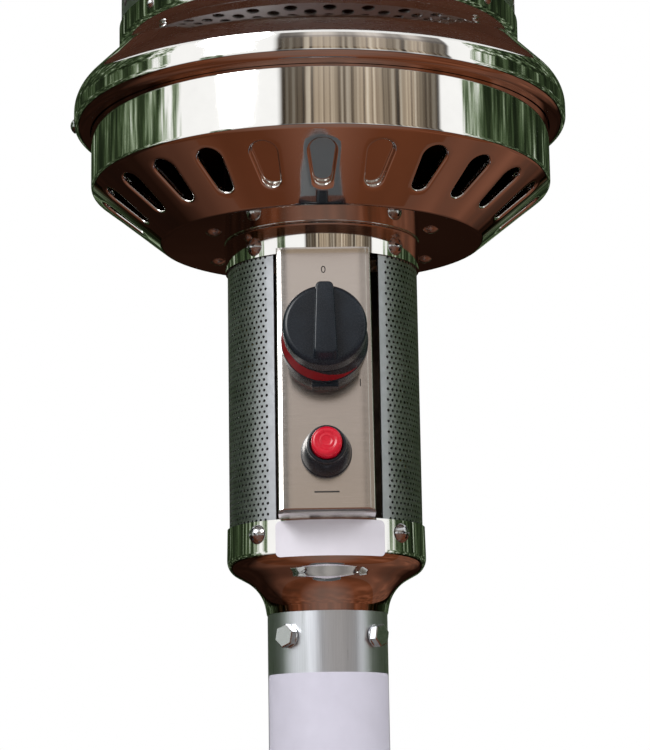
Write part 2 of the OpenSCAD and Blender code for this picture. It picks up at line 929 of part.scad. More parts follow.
function pan_path() =
  let (bend = 3)
  concat(
    [[flange_in_r, pan_z]],
    arc([floor_r - bend * tan(cone_slope / 2), pan_z + bend], bend, -90, cone_slope - 90, 3),
    arc([pan_r - bend, cone_top + bend * tan((90 - cone_slope) / 2)], bend, cone_slope - 90, 0, 4),
    [[pan_r, band_top], [ring_seat_r - chrome_t, band_top],
     [ring_seat_r - chrome_t, band_top - seat_lip]]);

// Outline of a slot along the cone, from its inner round end to its outer one
module slot_outline(grow) {
  r_in = slot_narrow / 2 + grow;
  r_out = slot_wide / 2 + grow;
  length = (slot_out_r - slot_in_r) / cos(cone_slope);
  low = slot_narrow / 2;
  high = length - slot_wide / 2;
  lean = asin((r_out - r_in) / (high - low));
  translate([low, 0])
    circle(r = r_in);
  translate([high, 0])
    circle(r = r_out);
  polygon([
    [low - r_in * sin(lean), r_in * cos(lean)], [high - r_out * sin(lean), r_out * cos(lean)],
    [high - r_out * sin(lean), -r_out * cos(lean)], [low - r_in * sin(lean), -r_in * cos(lean)]
  ]);
}

// Lays children on the cone's outer face at a slot: +X runs up the cone and -Z points out of it
module on_cone(k) {
  facing(k * slot_angle)
    translate([slot_in_r, 0, pan_z + (slot_in_r - floor_r) * tan(cone_slope)])
      rotate([0, -cone_slope, 0])
        children();
}

module burner_pan() {
  color(chrome)
    difference() {
      union() {
        spun_sheet(pan_path(), chrome_t);
        for (k = [0 : slot_count - 1])
          on_cone(k)
            translate([0, 0, chrome_t / 2])
              linear_extrude(slot_lip - chrome_t / 2)
                slot_outline(chrome_t);
      }
      for (k = [0 : slot_count - 1])
        on_cone(k)
          translate([0, 0, -3 * over])
            linear_extrude(slot_lip + 4 * over)
              slot_outline(0);
      pan_screw_holes();
      rivet_holes();
      ring_screw_holes();
    }
}

// Plates on the lips of the three front slots that keep wind off the pilot
cover_slots = [-1, 0, 1];

module slot_covers() {
  color(chrome)
    for (k = cover_slots)
      on_cone(k)
        translate([0, 0, slot_lip])
          linear_extrude(chrome_t)
            slot_outline(chrome_t);
}

// Plate on the pan's turned-over edge that leads the air from the slots in to the burner
baffle_in_r = 55;
baffle_lip = 4;

module burner_baffle() {
  low = band_top + chrome_t;
  color(satin)
    spun_sheet(
      [[baffle_in_r, low + baffle_lip], [baffle_in_r, low], [ring_seat_r - 2 * chrome_t, low]],
      chrome_t);
}

rivet_shank_r = 2;
rivet_az = [-120, -60, 60, 120];

module rivet_holes() {
  for (az = rivet_az)
    facing(az)
      translate([rivet_r, 0, pan_z - over])
        cylinder(h = chrome_t + mount_t + 2 * over, r = rivet_shank_r + screw_gap);
}

module pan_rivets() {
  grip = chrome_t + mount_t;
  color(zinc)
    for (az = rivet_az)
      facing(az)
        translate([rivet_r, 0, pan_z])
          rotate([180, 0, 0]) {
            dome_screw(rivet_shank_r, m4_head_r, 2, grip + 1);
            translate([0, 0, -grip - 1])
              cylinder(h = 1, r = rivet_shank_r + 1);
          }
}

// Shoulder ring round the top of the pan, narrowing to the emitter screen

ring_r = pan_r + ring_gap + emitter_t;
ring_low = cone_top + ring_up;
ring_lip_r = 5;
ring_side = 5;
ring_bulge_r = 18;
ring_cove_r = 14;
ring_top_r = emitter_r + slip + emitter_t;

ring_side_z = ring_low + ring_lip_r + ring_side;
ring_slant = 45;
// Height of the cove's centre, where the slanted part has run in to it
ring_cove_z = ring_side_z + (ring_bulge_r + ring_cove_r) * sin(ring_slant)
  + (ring_r - ring_top_r - (ring_bulge_r + ring_cove_r) * (1 - cos(ring_slant))) * tan(ring_slant);
ring_top = ring_cove_z + 10;

// The ring's lip is turned in until it almost meets the pan's band
ring_clear = 0.6;

function ring_path() = concat(
  [[pan_r + ring_clear, ring_low]],
  arc([ring_r - ring_lip_r, ring_low + ring_lip_r], ring_lip_r, -90, 0, 6),
  arc([ring_r - ring_bulge_r, ring_side_z], ring_bulge_r, 0, ring_slant),
  arc([ring_top_r + ring_cove_r, ring_cove_z], ring_cove_r, 180 + ring_slant, 180),
  [[ring_top_r, ring_top]]);

ring_screw_z = band_top - seat_lip / 2;
ring_screw_az = [-90, 135];

module ring_screw_holes() {
  for (az = ring_screw_az)
    outward(az, ring_seat_r - chrome_t - over, ring_screw_z)
      cylinder(h = chrome_t + slip + emitter_t + 2 * over, r = m3 + screw_gap);
}

module shoulder_ring() {
  color(chrome)
    difference() {
      spun_sheet(ring_path(), emitter_t);
      ring_screw_holes();
      screen_screw_holes();
    }
}

module ring_screws() {
  nut_thick = 2.4;
  grip = emitter_t + slip + chrome_t;
  color(zinc)
    for (az = ring_screw_az)
      outward(az, ring_r, ring_screw_z) {
        dome_screw(m3, m4_head_r, m4_head_h, grip + nut_thick + 1.5);
        translate([0, 0, -grip - nut_thick])
          cylinder(h = nut_thick, r = m3_head_r, $fn = 6);
      }
}

// Dial ring, heat scale and knob

dial_foot_h = 6;
dial_top_r = knob_r - 0.9;
dial_wall = 2;
scale_depth = 0.6;
scale_low = dial_foot_h + 0.6;
scale_high = dial_h - 0.7;
scale_from = 80;
scale_to = 228;
// Angle over which the scale runs out to its cool end
scale_taper = 60;
scale_fit = 0.05;

// Solid cone of the dial ring above its foot
module dial_cone(grow) {
  translate([0, 0, dial_foot_h])
    cylinder(h = dial_h - dial_foot_h, r1 = dial_r - 0.2 + grow, r2 = dial_top_r + grow);
}

// Band that the heat scale fills: full height at its hot end, a point at its cool end.
// Angles are counted anticlockwise from the top of the dial.
module scale_wedge(fit) {
  tilt = atan2(scale_high - scale_low, 2 * dial_r * sin(scale_taper / 2));
  middle = 90 + scale_to - scale_taper / 2;
  intersection() {
    difference() {
      dial_cone(0);
      dial_cone(-scale_depth - fit);
    }
    rotate([0, 0, 90 + scale_from - fit])
      rotate_extrude(angle = scale_to - scale_from + 2 * fit)
        translate([dial_top_r / 2, scale_low - fit])
          square([dial_r, scale_high - scale_low + 2 * fit]);
    rotate([0, 0, middle])
      translate([0, 0, (scale_low + scale_high) / 2 + fit])
        rotate([-tilt, 0, 0])
          translate([-2 * dial_r, -4 * dial_r, -4 * dial_h])
            cube([4 * dial_r, 8 * dial_r, 4 * dial_h]);
  }
}

module dial_ring() {
  lug_reach = dial_r + 1.4;
  lug_h = 3;
  color(black)
    on_panel(knob_z)
      difference() {
        union() {
          cylinder(h = dial_foot_h, r = dial_r);
          dial_cone(0);
          translate([-lug_w / 2, -lug_reach, 0])
            cube([lug_w, lug_reach, lug_h]);
        }
        translate([0, 0, -over])
          cylinder(
            h = dial_h - dial_wall + over,
            r1 = dial_r - dial_wall,
            r2 = dial_top_r - dial_wall);
        cylinder(h = dial_h + over, r = stem_r + 3);
        scale_wedge(scale_fit);
      }
}

module heat_scale() {
  color("firebrick")
    on_panel(knob_z)
      scale_wedge(0);
}

knob_back = dial_h + knob_push + 0.5;
knob_face = knob_back + knob_h;
knob_wall = 2;
hub_r = stem_r + 3;
stem_seat = knob_face - knob_wall - 1;

module control_knob() {
  edge_r = 2.6;
  face_r = knob_r - edge_r;
  bar_low = knob_face - 0.5;
  bar_top = knob_face + grip_h;
  toe = face_r - grip_w / 2;
  tip = knob_r + 0.6 - grip_w / 2;
  color(black)
    on_panel(knob_z)
      difference() {
        union() {
          rotate_extrude($fn = 96)
            polygon(concat(
              [[0, knob_back], [knob_r, knob_back]],
              arc([face_r, knob_face - edge_r], edge_r, 0, 90, 6),
              [[0, knob_face]]));
          // Grip bar with its pointer end at the top of the knob
          hull() {
            translate([0, -toe, bar_low])
              cylinder(h = 0.5, r = grip_w / 2 + 1.5, $fn = 32);
            translate([0, tip, bar_low])
              cylinder(h = 0.5, r = grip_w / 2, $fn = 32);
            translate([0, -toe + 2, bar_top - 0.5])
              cylinder(h = 0.5, r = grip_w / 2 + 0.4, $fn = 32);
            translate([0, tip - 1, bar_top - 0.5])
              cylinder(h = 0.5, r = grip_w / 2 - 0.6, $fn = 32);
          }
        }
        // Hollow back with a hub round the stem
        translate([0, 0, knob_back - over])
          difference() {
            cylinder(h = knob_h - knob_wall + over - 1, r = knob_r - knob_wall);
            cylinder(h = knob_h + over, r = hub_r);
          }
        translate([0, 0, knob_back - over])
          cylinder(h = stem_seat - knob_back + over, r = stem_r + running);
      }
}

valve_cap_t = 3;
valve_w = 32;
valve_hh = 18;
valve_depth = 30;
valve_front = -panel_t - valve_cap_t;
plug_front = valve_front - slip;
plug_len = 22;
stem_in = -13;
spring_wire = 0.6;
stem_spring_low = 1.3;

module valve_stem() {
  flat_len = 12;
  color(satin)
    on_panel(knob_z)
      difference() {
        translate([0, 0, stem_in])
          cylinder(h = stem_seat - 0.5 - stem_in, r = stem_r);
        translate([stem_r * 0.6, -stem_r, stem_seat - flat_len])
          cube([stem_r, 2 * stem_r, flat_len]);
      }
}

module stem_spring() {
  color(zinc)
    on_panel(knob_z)
      translate([0, 0, stem_spring_low])
        coil_spring(stem_r + 0.5 + spring_wire, stem_turns, knob_back - 0.3 - stem_spring_low, spring_wire);
}

module valve_plug() {
  color(brass)
    on_panel(knob_z)
      difference() {
        translate([0, 0, plug_front - plug_len])
          cylinder(h = plug_len, r = plug_r);
        translate([0, 0, stem_in - knob_push - over])
          cylinder(h = plug_front - stem_in + knob_push + 2 * over, r = stem_r + running);
        // Cross hole, shut while the knob is at off
        translate([0, 0, outlet_z])
          rotate([0, 90, 0])
            cylinder(h = 2 * (plug_r + over), r = gas_tube_r / 2, center = true);
      }
}

// The two screws that hold the valve behind the panel, under the dial ring
module valve_screw_places() {
  for (side = [-1, 1])
    translate([side * (plug_r + 2.2), side * (plug_r + 2.2), 0])
      children();
}

module valve_cap() {
  color(zinc)
    on_panel(knob_z)
      difference() {
        union() {
          translate([-valve_w / 2, -valve_hh, valve_front])
            cube([valve_w, 2 * valve_hh, valve_cap_t]);
          translate([0, 0, valve_front])
            cylinder(h = valve_cap_t + panel_t + 1, r = neck_boss_r);
        }
        translate([0, 0, valve_front - over])
          cylinder(h = valve_cap_t + panel_t + 3 * over, r = stem_r + slip);
        valve_screw_places()
          translate([0, 0, valve_front - over])
            cylinder(h = valve_cap_t + 2 * over, r = m3 + screw_gap);
      }
}

outlet_z = valve_front - valve_depth / 2 - 3;
boss_h = 5;
service_x = 11;
gas_seat_r = gas_tube_r + 2.5;

module valve_body() {
  color(brass)
    difference() {
      on_panel(knob_z)
        valve_block();
      for (side = [-1, 1])
        translate([side * service_x, pilot_y, socket_end])
          cylinder(h = valve_hh, r = service_socket_r);
    }
}

module valve_block() {
  difference() {
    union() {
      translate([-valve_w / 2, -valve_hh, valve_front - valve_depth])
        cube([valve_w, 2 * valve_hh, valve_depth]);
      translate([0, valve_hh, outlet_z])
        rotate([-90, 0, 0])
          cylinder(h = boss_h, r = gas_seat_r);
    }
    translate([0, 0, plug_front - plug_len - slip])
      cylinder(h = plug_len + 2 * slip + over, r = plug_r + running);
    translate([0, 0, outlet_z])
      rotate([90, 0, 0])
        cylinder(h = 2 * (valve_hh + boss_h), r = gas_tube_r - 1.5, center = true);
    valve_screw_places()
      translate([0, 0, valve_front - 8])
        cylinder(h = 8 + over, r = m3 + screw_gap);
  }
}

module valve_screws() {
  color(zinc)
    on_panel(knob_z)
      valve_screw_places()
        dome_screw(m3, m3_head_r, m3_head_h, panel_t + valve_cap_t + 6);
}

module inlet_fitting() {
  hex_h = 6;
  length = 20;
  color(brass)
    on_panel(knob_z)
      translate([0, -valve_hh, outlet_z])
        rotate([90, 0, 0])
          difference() {
            union() {
              cylinder(h = hex_h, r = 8, $fn = 6);
              cylinder(h = length, r = 5.5);
              translate([0, 0, length - 3])
                cylinder(h = 3, r1 = 5.5, r2 = 4);
            }
            translate([0, 0, -over])
              cylinder(h = length + 2 * over, r = 2.5);
          }
}

module tilt_switch() {
  w = 20;
  h = 26;
  depth = 12;
  color(black)
    on_panel(knob_z)
      translate([-w / 2, -h / 2, valve_front - valve_depth - depth])
        difference() {
          cube([w, h, depth]);
          translate([-over, h - 4, -over])
            cube([w + 2 * over, 5, 4]);
        }
}

// Igniter

button_bore_r = button_r + slip + 0.1;
button_back = 8;
button_face = nut_h + 5.5;
button_stem_r = 5;
button_stem_back = -6;
igniter_bore_end = -igniter_len + 14;
igniter_mouth = 6;

module igniter_nut() {
  front_r = button_bore_r + 1.6;
  color(black)
    on_panel(igniter_z)
      difference() {
        rotate_extrude()
          polygon(concat(
            [[0, 0], [nut_r, 0], [nut_r, 2.5]],
            arc([front_r, nut_h - 4 - 8.5], nut_r - front_r - 0.3, 0, 80, 4),
            [[front_r, nut_h - 3], [front_r - 0.5, nut_h], [0, nut_h]]));
        translate([0, 0, -over])
          cylinder(h = nut_h + 2 * over, r = button_bore_r);
        translate([0, 0, -over])
          cylinder(h = igniter_mouth + 0.5 + over, r = igniter_tube_r + running);
      }
}

module igniter_body() {
  flange_t = 2;
  color(black)
    on_panel(igniter_z)
      difference() {
        union() {
          translate([0, 0, -igniter_len])
            cylinder(h = igniter_len + igniter_mouth, r = igniter_tube_r);
          translate([0, 0, -panel_t - flange_t])
            cylinder(h = flange_t, r = nut_r);
        }
        translate([0, 0, igniter_bore_end])
          cylinder(h = igniter_len + igniter_mouth, r = button_bore_r);
      }
}

module igniter_button() {
  dish_r = button_r - 1.5;
  color("red")
    on_panel(igniter_z)
      rotate_extrude()
        polygon(concat(
          [[0, button_stem_back], [button_stem_r, button_stem_back], [button_stem_r, button_back],
           [button_r, button_back]],
          arc([button_r - 0.8, button_face - 0.8], 0.8, 0, 90, 3),
          [[dish_r, button_face], [dish_r - 1, button_face - 1.2], [0, button_face - 1.2]]));
}

module igniter_spring() {
  color(zinc)
    on_panel(igniter_z)
      translate([0, 0, igniter_bore_end + slip])
        coil_spring(button_stem_r - spring_wire, button_turns,
          button_stem_back - igniter_bore_end - 2 * slip, spring_wire);
}

// Gas way and burner

mount_t = 1.2;
mount_r = flange_in_r + 10;
mount_top = pan_z + chrome_t + mount_h;
valve_axis = [-face_out(knob_z) - outlet_z * cos(panel_lean), knob_z + outlet_z * sin(panel_lean)];
function heading(lean) = [sin(lean), cos(lean)];
// Place and height where the main tube leaves the valve's outlet, in the plane x = 0
outlet_up = valve_hh + boss_h;
outlet = valve_axis + outlet_up * heading(panel_lean);
tube_bend_r = 14;
tube_turn = 65;
tube_stub = 2;
swage_h = 3;
swage_t = 0.5;
jet_low = pan_z - 6;

module gas_tube_solid(r) {
  from = outlet + tube_stub * heading(panel_lean);
  lower_c = from + tube_bend_r * [cos(panel_lean), -sin(panel_lean)];
  bend_end = lower_c - tube_bend_r * [cos(tube_turn), -sin(tube_turn)];
  upper_run = tube_bend_r * (1 - cos(tube_turn));
  slant = (-upper_run - bend_end[0]) / sin(tube_turn);
  slant_end = bend_end + slant * heading(tube_turn);
  upper_z = slant_end[1] + tube_bend_r * sin(tube_turn);
  tube_run(outlet, panel_lean, tube_stub, r);
  tube_arc(lower_c, r, 180 - tube_turn, 180 - panel_lean);
  tube_run(bend_end, tube_turn, slant, r);
  tube_arc([-tube_bend_r, upper_z], r, -tube_turn, 0);
  tube_run([0, upper_z], 0, jet_low - upper_z, r);
  // Swaged sleeves over the joints between straight and bent stretches
  tube_run(from - swage_h / 2 * heading(panel_lean), panel_lean, swage_h, r + swage_t);
  tube_run(bend_end - swage_h / 2 * heading(tube_turn), tube_turn, swage_h, r + swage_t);
  tube_run(slant_end - swage_h / 2 * heading(tube_turn), tube_turn, swage_h, r + swage_t);
  tube_run([0, upper_z - swage_h / 2], 0, swage_h, r + swage_t);
}

// Straight stretch of tube in the plane x = 0, leaning towards +Y from upright
module tube_run(start, lean, length, r) {
  translate([0, start[0], start[1]])
    rotate([-lean, 0, 0])
      cylinder(h = length, r = r);
}

// Bent stretch of tube in the plane x = 0, about a centre given as (y, z)
module tube_arc(centre, r, from, to) {
  translate([0, centre[0], centre[1]])
    rotate([90, 0, 90])
      rotate([0, 0, from])
        rotate_extrude(angle = to - from)
          translate([tube_bend_r, 0])
            circle(r = r);
}

module gas_tube() {
  color(satin)
    gas_tube_solid(gas_tube_r);
}

module burner_jet() {
  hex_h = 8;
  tip_h = 9;
  color(brass)
    translate([0, 0, jet_low])
      difference() {
        union() {
          cylinder(h = hex_h, r = gas_tube_r + 3, $fn = 6);
          translate([0, 0, hex_h])
            cylinder(h = tip_h, r1 = gas_tube_r, r2 = 2.5);
        }
        translate([0, 0, 2])
          cylinder(h = hex_h + tip_h, r = 0.8);
      }
}

function mount_path() =
  let (bend = 4)
  concat(
    [[rivet_r + 7, pan_z + chrome_t + mount_t], [mount_r, pan_z + chrome_t + mount_t]],
    arc([mount_r - bend, mount_top - bend], bend, 0, 90, 4),
    [[venturi_r + slip, mount_top]]);

pilot_y = -33;
service_r = 3.5;
electrode_y = pilot_y - 9;
pilot_places = [[service_x, pilot_y], [-service_x, pilot_y], [0, electrode_y]];

module service_holes(z, h) {
  for (p = pilot_places)
    translate([p[0], p[1], z - over])
      cylinder(h = h + 2 * over, r = service_r + screw_gap);
}

module burner_mount() {
  air_holes = 6;
  color(satin)
    difference() {
      spun_sheet(mount_path(), mount_t);
      for (k = [0 : air_holes - 1])
        outward(30 + 360 * k / air_holes, mount_r - mount_t - 2 * over, pan_z + mount_h / 2)
          cylinder(h = mount_t + 4 * over, r = mount_h / 6);
      rivet_holes();
      service_holes(mount_top - mount_t, mount_t);
    }
}

venturi_low = pan_z + 16;
venturi_top = mount_top + 50;

module venturi() {
  wall = 1.2;
  mouth_r = venturi_r + 4;
  color(satin)
    rotate_extrude()
      polygon([
        [mouth_r - wall, venturi_low], [mouth_r, venturi_low], [venturi_r, venturi_low + 14],
        [venturi_r, mount_top], [venturi_r + 7, mount_top], [venturi_r + 7, mount_top + 2],
        [venturi_r, mount_top + 2], [venturi_r, venturi_top], [venturi_r - wall, venturi_top],
        [venturi_r - wall, venturi_low + 14]
      ]);
}

module burner_head() {
  wall = 1.5;
  head_h = 34;
  ports = 20;
  color(zinc)
    translate([0, 0, venturi_top])
      difference() {
        rotate_extrude()
          polygon([
            [venturi_r - wall, 0], [venturi_r + 2, 0], [burner_r, 10], [burner_r, head_h - 3],
            [burner_r - 3, head_h], [0, head_h], [0, head_h - wall], [burner_r - 4, head_h - wall],
            [burner_r - wall, head_h - 4], [burner_r - wall, 11], [venturi_r - wall, wall]
          ]);
        for (k = [0 : ports - 1])
          outward(360 * k / ports, burner_r - wall - over, head_h / 2 + 3)
            cylinder(h = wall + 2 * over, r = 2);
      }
}

bracket_plate_t = 1.5;
bracket_top = mount_top + bracket_plate_t;

module pilot_bracket() {
  reach = service_x + service_r + 3;
  deep = electrode_y - service_r - 2;
  near = pilot_y + service_r + 2;
  color(satin)
    difference() {
      translate([-reach, deep, mount_top])
        cube([2 * reach, near - deep, bracket_plate_t]);
      service_holes(mount_top, bracket_plate_t);
    }
}

// Height of the valve's top face at the service tubes, and of the tubes' ends in their sockets
valve_top_z = valve_axis[1] + valve_hh / cos(panel_lean) + (valve_axis[0] - pilot_y) * tan(panel_lean);
socket_end = valve_top_z - 6;
service_low = socket_end + slip;
service_socket_r = pilot_tube_r + slip;

module pilot_tube() {
  color(brass)
    translate([service_x, pilot_y, service_low])
      tube(bracket_top - service_low, pilot_tube_r, 0.6);
}

module pilot_burner() {
  height = 60;
  hood_r = service_r + 1.5;
  color(zinc)
    translate([service_x, pilot_y, bracket_top])
      difference() {
        union() {
          cylinder(h = height, r = service_r);
          cylinder(h = 5, r = hood_r, $fn = 6);
          translate([0, 0, height - 14])
            cylinder(h = 14, r = hood_r);
        }
        translate([0, 0, height - 10])
          cylinder(h = 10 + over, r = service_r);
        translate([-hood_r - over, -1.5, height - 9])
          cube([hood_r + over, 3, 6]);
      }
}

module thermocouple() {
  height = 64;
  color("peru")
    translate([-service_x, pilot_y, 0]) {
      translate([0, 0, service_low])
        cylinder(h = bracket_top - service_low + 1, r = 1.3);
      translate([0, 0, bracket_top])
        cylinder(h = 5, r = service_r + 1.5, $fn = 6);
      translate([0, 0, bracket_top])
        cylinder(h = height, r = 2.4);
    }
}

module spark_electrode() {
  ceramic_h = 40;
  wire_r = 0.8;
  color("white")
    translate([0, electrode_y, 0]) {
      translate([0, 0, mount_top - 14])
        cylinder(h = ceramic_h + 14, r = service_r);
      translate([0, 0, bracket_top])
        cylinder(h = 3, r = service_r + 1.5);
      translate([0, 0, mount_top + ceramic_h - over])
        cylinder(h = 22, r = wire_r);
    }
}

// Emitter

screen_low = ring_cove_z;
screen_top = ring_top + emitter_h;
cap_skirt = 16;
cap_r = emitter_r + slip + emitter_t;
cap_top = screen_top + 8;
port_rows = floor((screen_top - cap_skirt - ring_top - 8) / (3 * port_r));
port_flat = 360 / port_columns;

// Screws through the ring's neck and the cap's skirt into flats of the screen
screen_screw_az = [90 - 2 * port_flat, 90 + 2 * port_flat, 270 - 2 * port_flat, 270 + 2 * port_flat];
screen_screw_z = [ring_top - 5, screen_top - cap_skirt + 5];

module screen_screw_holes() {
  for (az = screen_screw_az) for (z = screen_screw_z)
    outward(az, emitter_r - 4 * over, z)
      cylinder(h = 8 * over, r = m3 + screw_gap);
}

module emitter_screws() {
  color(zinc)
    for (az = screen_screw_az) for (z = screen_screw_z)
      outward(az, ring_top_r, z)
        dome_screw(m3, m3_head_r, m3_head_h, 7);
}

// Height of a hole: every second column is raised by half a pitch
function port_z(column, row) = ring_top + 10 + (row + (column % 2) / 2) * 3 * port_r;

// Wall of the screen: one flat for each column of holes
function screen_side(r) =
  [for (k = [0 : port_columns - 1]) r * [cos(k * port_flat), sin(k * port_flat)]];

module emitter_screen() {
  flat = cos(port_flat / 2);
  color(zinc)
    difference() {
      translate([0, 0, screen_low])
        rotate([0, 0, port_flat / 2])
          linear_extrude(screen_top - screen_low)
            difference() {
              polygon(screen_side(emitter_r));
              polygon(screen_side(emitter_r - emitter_t / flat));
            }
      for (k = [0 : port_columns - 1]) for (row = [0 : port_rows - 1])
        rotate([0, 0, k * port_flat])
          translate([emitter_r * flat - emitter_t - 3 * over, 0, port_z(k, row)])
            rotate([0, 90, 0])
              cylinder(h = emitter_t + 6 * over, r = port_r);
      screen_screw_holes();
    }
}

function cap_path() = concat(
  [[cap_r, screen_top - cap_skirt]],
  arc([cap_r - 7, cap_top - 7], 7, 0, 90),
  [[0, cap_top]]);

module stud_holes(z, h) {
  for (k = [0 : 3])
    facing(45 + 90 * k)
      translate([stud_place_r, 0, z - over])
        cylinder(h = h + 2 * over, r = m6 + screw_gap);
}

module emitter_cap() {
  color(satin)
    difference() {
      spun_sheet(cap_path(), emitter_t);
      stud_holes(cap_top - emitter_t, emitter_t);
      screen_screw_holes();
    }
}

// Reflector

crown_z = cap_top + stud_h;
crown_r = stud_place_r + 18;
hem_h = 6;

module reflector_studs() {
  color(zinc)
    for (k = [0 : 3])
      facing(45 + 90 * k)
        translate([stud_place_r, 0, cap_top]) {
          cylinder(h = stud_h - reflector_t, r = m6 + 2.5);
          translate([0, 0, -emitter_t - 8])
            cylinder(h = stud_h + emitter_t + 28, r = m6);
          translate([0, 0, -emitter_t - 5.2])
            cylinder(h = 5, r = m6_head_r, $fn = 6);
        }
}

function reflector_path() =
  let (
    run = reflector_r - hem_h / 2 - crown_r,
    drop = reflector_rise - hem_h,
    dome_r = (run * run + drop * drop) / (2 * drop),
    edge = asin(run / dome_r)
  )
  concat(
    [[reflector_r, crown_z - reflector_rise], [reflector_r, crown_z - reflector_rise + hem_h / 2]],
    arc([crown_r, crown_z - dome_r], dome_r, 90 - edge, 90, 12),
    [[0, crown_z]]);

module reflector() {
  color("lightgray")
    difference() {
      spun_sheet(reflector_path(), reflector_t);
      stud_holes(crown_z - reflector_t, reflector_t);
    }
}

module wing_nuts() {
  hub_h = 8;
  hub = m6 + 3.5;
  wing = 15;
  root = hub - 2;
  color(zinc)
    for (k = [0 : 3])
      facing(45 + 90 * k)
        translate([stud_place_r, 0, crown_z]) {
          nut_hub(hub, hub_h);
          for (side = [0, 180])
            rotate([90, 0, side])
              linear_extrude(3, center = true)
                polygon([[root, 1], [wing, hub_h + 3], [wing - 2, hub_h + 9], [root, hub_h - 1]]);
        }
}

module nut_hub(r, h) {
  difference() {
    cylinder(h = h, r = r);
    translate([0, 0, -over])
      cylinder(h = h + 2 * over, r = m6 + screw_gap);
  }
}

base_plate();
base_feet();
wheel_bracket();
wheel_bolts();
wheel_axle();
wheel_left();
wheel_right();
leg_left();
leg_right();
leg_rear();
leg_bolts();
post_socket();
socket_bolts();
tank_housing();
housing_lid();
lid_screws();
post();
post_bolts();
neck_cup();
perforated_sleeve();
wind_shield();
control_panel();
upper_collar();
housing_screws();
burner_pan();
slot_covers();
burner_baffle();
pan_screws();
pan_rivets();
shoulder_ring();
ring_screws();
dial_ring();
heat_scale();
control_knob();
valve_stem();
stem_spring();
valve_plug();
valve_cap();
valve_body();
valve_screws();
inlet_fitting();
tilt_switch();
igniter_nut();
igniter_body();
igniter_button();
igniter_spring();
gas_tube();
burner_jet();
burner_mount();
venturi();
burner_head();
pilot_bracket();
pilot_tube();
pilot_burner();
thermocouple();
spark_electrode();
emitter_screen();
emitter_cap();
emitter_screws();
reflector_studs();
reflector();
wing_nuts();
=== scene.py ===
"""Dresses the propane patio heater: sheet-metal forms, controls, fasteners, finishes and the stage."""

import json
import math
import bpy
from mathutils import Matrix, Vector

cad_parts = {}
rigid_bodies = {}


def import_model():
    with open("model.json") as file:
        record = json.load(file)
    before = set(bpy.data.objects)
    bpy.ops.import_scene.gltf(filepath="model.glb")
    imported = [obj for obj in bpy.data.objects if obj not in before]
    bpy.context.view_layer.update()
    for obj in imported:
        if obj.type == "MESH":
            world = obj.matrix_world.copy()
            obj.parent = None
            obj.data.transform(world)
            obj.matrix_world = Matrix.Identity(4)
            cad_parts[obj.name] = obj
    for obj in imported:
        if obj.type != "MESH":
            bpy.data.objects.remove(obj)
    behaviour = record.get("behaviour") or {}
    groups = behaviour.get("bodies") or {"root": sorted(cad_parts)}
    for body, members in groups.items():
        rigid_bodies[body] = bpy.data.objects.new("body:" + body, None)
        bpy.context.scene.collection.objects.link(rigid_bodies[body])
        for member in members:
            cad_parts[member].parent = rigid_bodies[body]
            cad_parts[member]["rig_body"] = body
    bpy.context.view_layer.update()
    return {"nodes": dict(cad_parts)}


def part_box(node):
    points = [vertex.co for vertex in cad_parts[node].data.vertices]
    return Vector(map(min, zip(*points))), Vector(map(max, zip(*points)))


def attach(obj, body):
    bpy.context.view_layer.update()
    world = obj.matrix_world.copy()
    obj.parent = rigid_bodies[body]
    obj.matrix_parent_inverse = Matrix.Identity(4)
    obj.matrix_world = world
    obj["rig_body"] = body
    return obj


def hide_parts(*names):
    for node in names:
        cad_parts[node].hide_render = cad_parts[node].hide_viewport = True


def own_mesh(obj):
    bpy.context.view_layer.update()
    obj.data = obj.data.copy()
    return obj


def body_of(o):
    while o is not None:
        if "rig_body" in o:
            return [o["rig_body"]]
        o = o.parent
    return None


bl_info = {
    "name": "Propane patio heater",
    "version": (1, 0, 0),
    "blender": (4, 5, 0),
    "location": "3D View > Sidebar > Heater",
    "description": "Builds the visible pieces of a free-standing gas patio heater over its solid model",
    "category": "Object",
}

from types import SimpleNamespace

import bmesh
import bpy
from bpy.props import FloatProperty, FloatVectorProperty, IntProperty, PointerProperty
from bpy.types import Node, NodeSocket, Operator, Panel, PropertyGroup
from mathutils import Matrix, Vector

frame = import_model()

MM = 0.001
# Steps of a full turn: fine enough that a mirror-polished round shows no flats
TURN_STEPS = 192
# Distance of a holding ring from the end of a straight stretch, in millimetres
HOLD = 0.4
# Thickness of a label's film, and the distance of its outer face from what it sticks to, in millimetres
FILM, FILM_LIFT = 0.1, 0.12
# Corners sharper than this stay hard under smooth shading
SHARP = math.radians(32)


def top_of(node):
    """Height of a node's top above the floor, in millimetres."""
    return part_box(node)[1].z / MM


def foot_of(node):
    """Height of a node's underside above the floor, in millimetres."""
    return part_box(node)[0].z / MM


def reach_of(node):
    """Distance from the axis to a round node's outside, in millimetres."""
    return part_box(node)[1].x / MM


POST_TOP = top_of("post")
CUP_TOP = top_of("neck_cup")
PAN_LOW = foot_of("burner_pan")
# The pan as the solid model has it: its bore, the height of its cone, and the span of a slot from the axis
PAN_BORE = 39.9
CONE_RISE = 28.7
SLOT_SPAN = (91.5, 112.5)
# Turn of the sleeve and the screws that hold it about the axis, in degrees
SLEEVE_TURN = 1.9


def linear(colour):
    """Linear red, green, blue and alpha of an sRGB hex colour."""
    parts = [int(colour[i : i + 2], 16) / 255 for i in (1, 3, 5)]
    return tuple(p / 12.92 if p <= 0.04045 else ((p + 0.055) / 1.055) ** 2.4 for p in parts) + (1.0,)


def length(name, description, millimetres):
    """Length property whose default is given in millimetres."""
    return FloatProperty(
        name=name, description=description, default=millimetres * MM, min=0.0, precision=5, unit="LENGTH"
    )


def colour(name, description, value):
    """Colour property whose default is an sRGB hex value."""
    return FloatVectorProperty(
        name=name, description=description, default=linear(value), size=4, min=0.0, max=1.0, subtype="COLOR"
    )


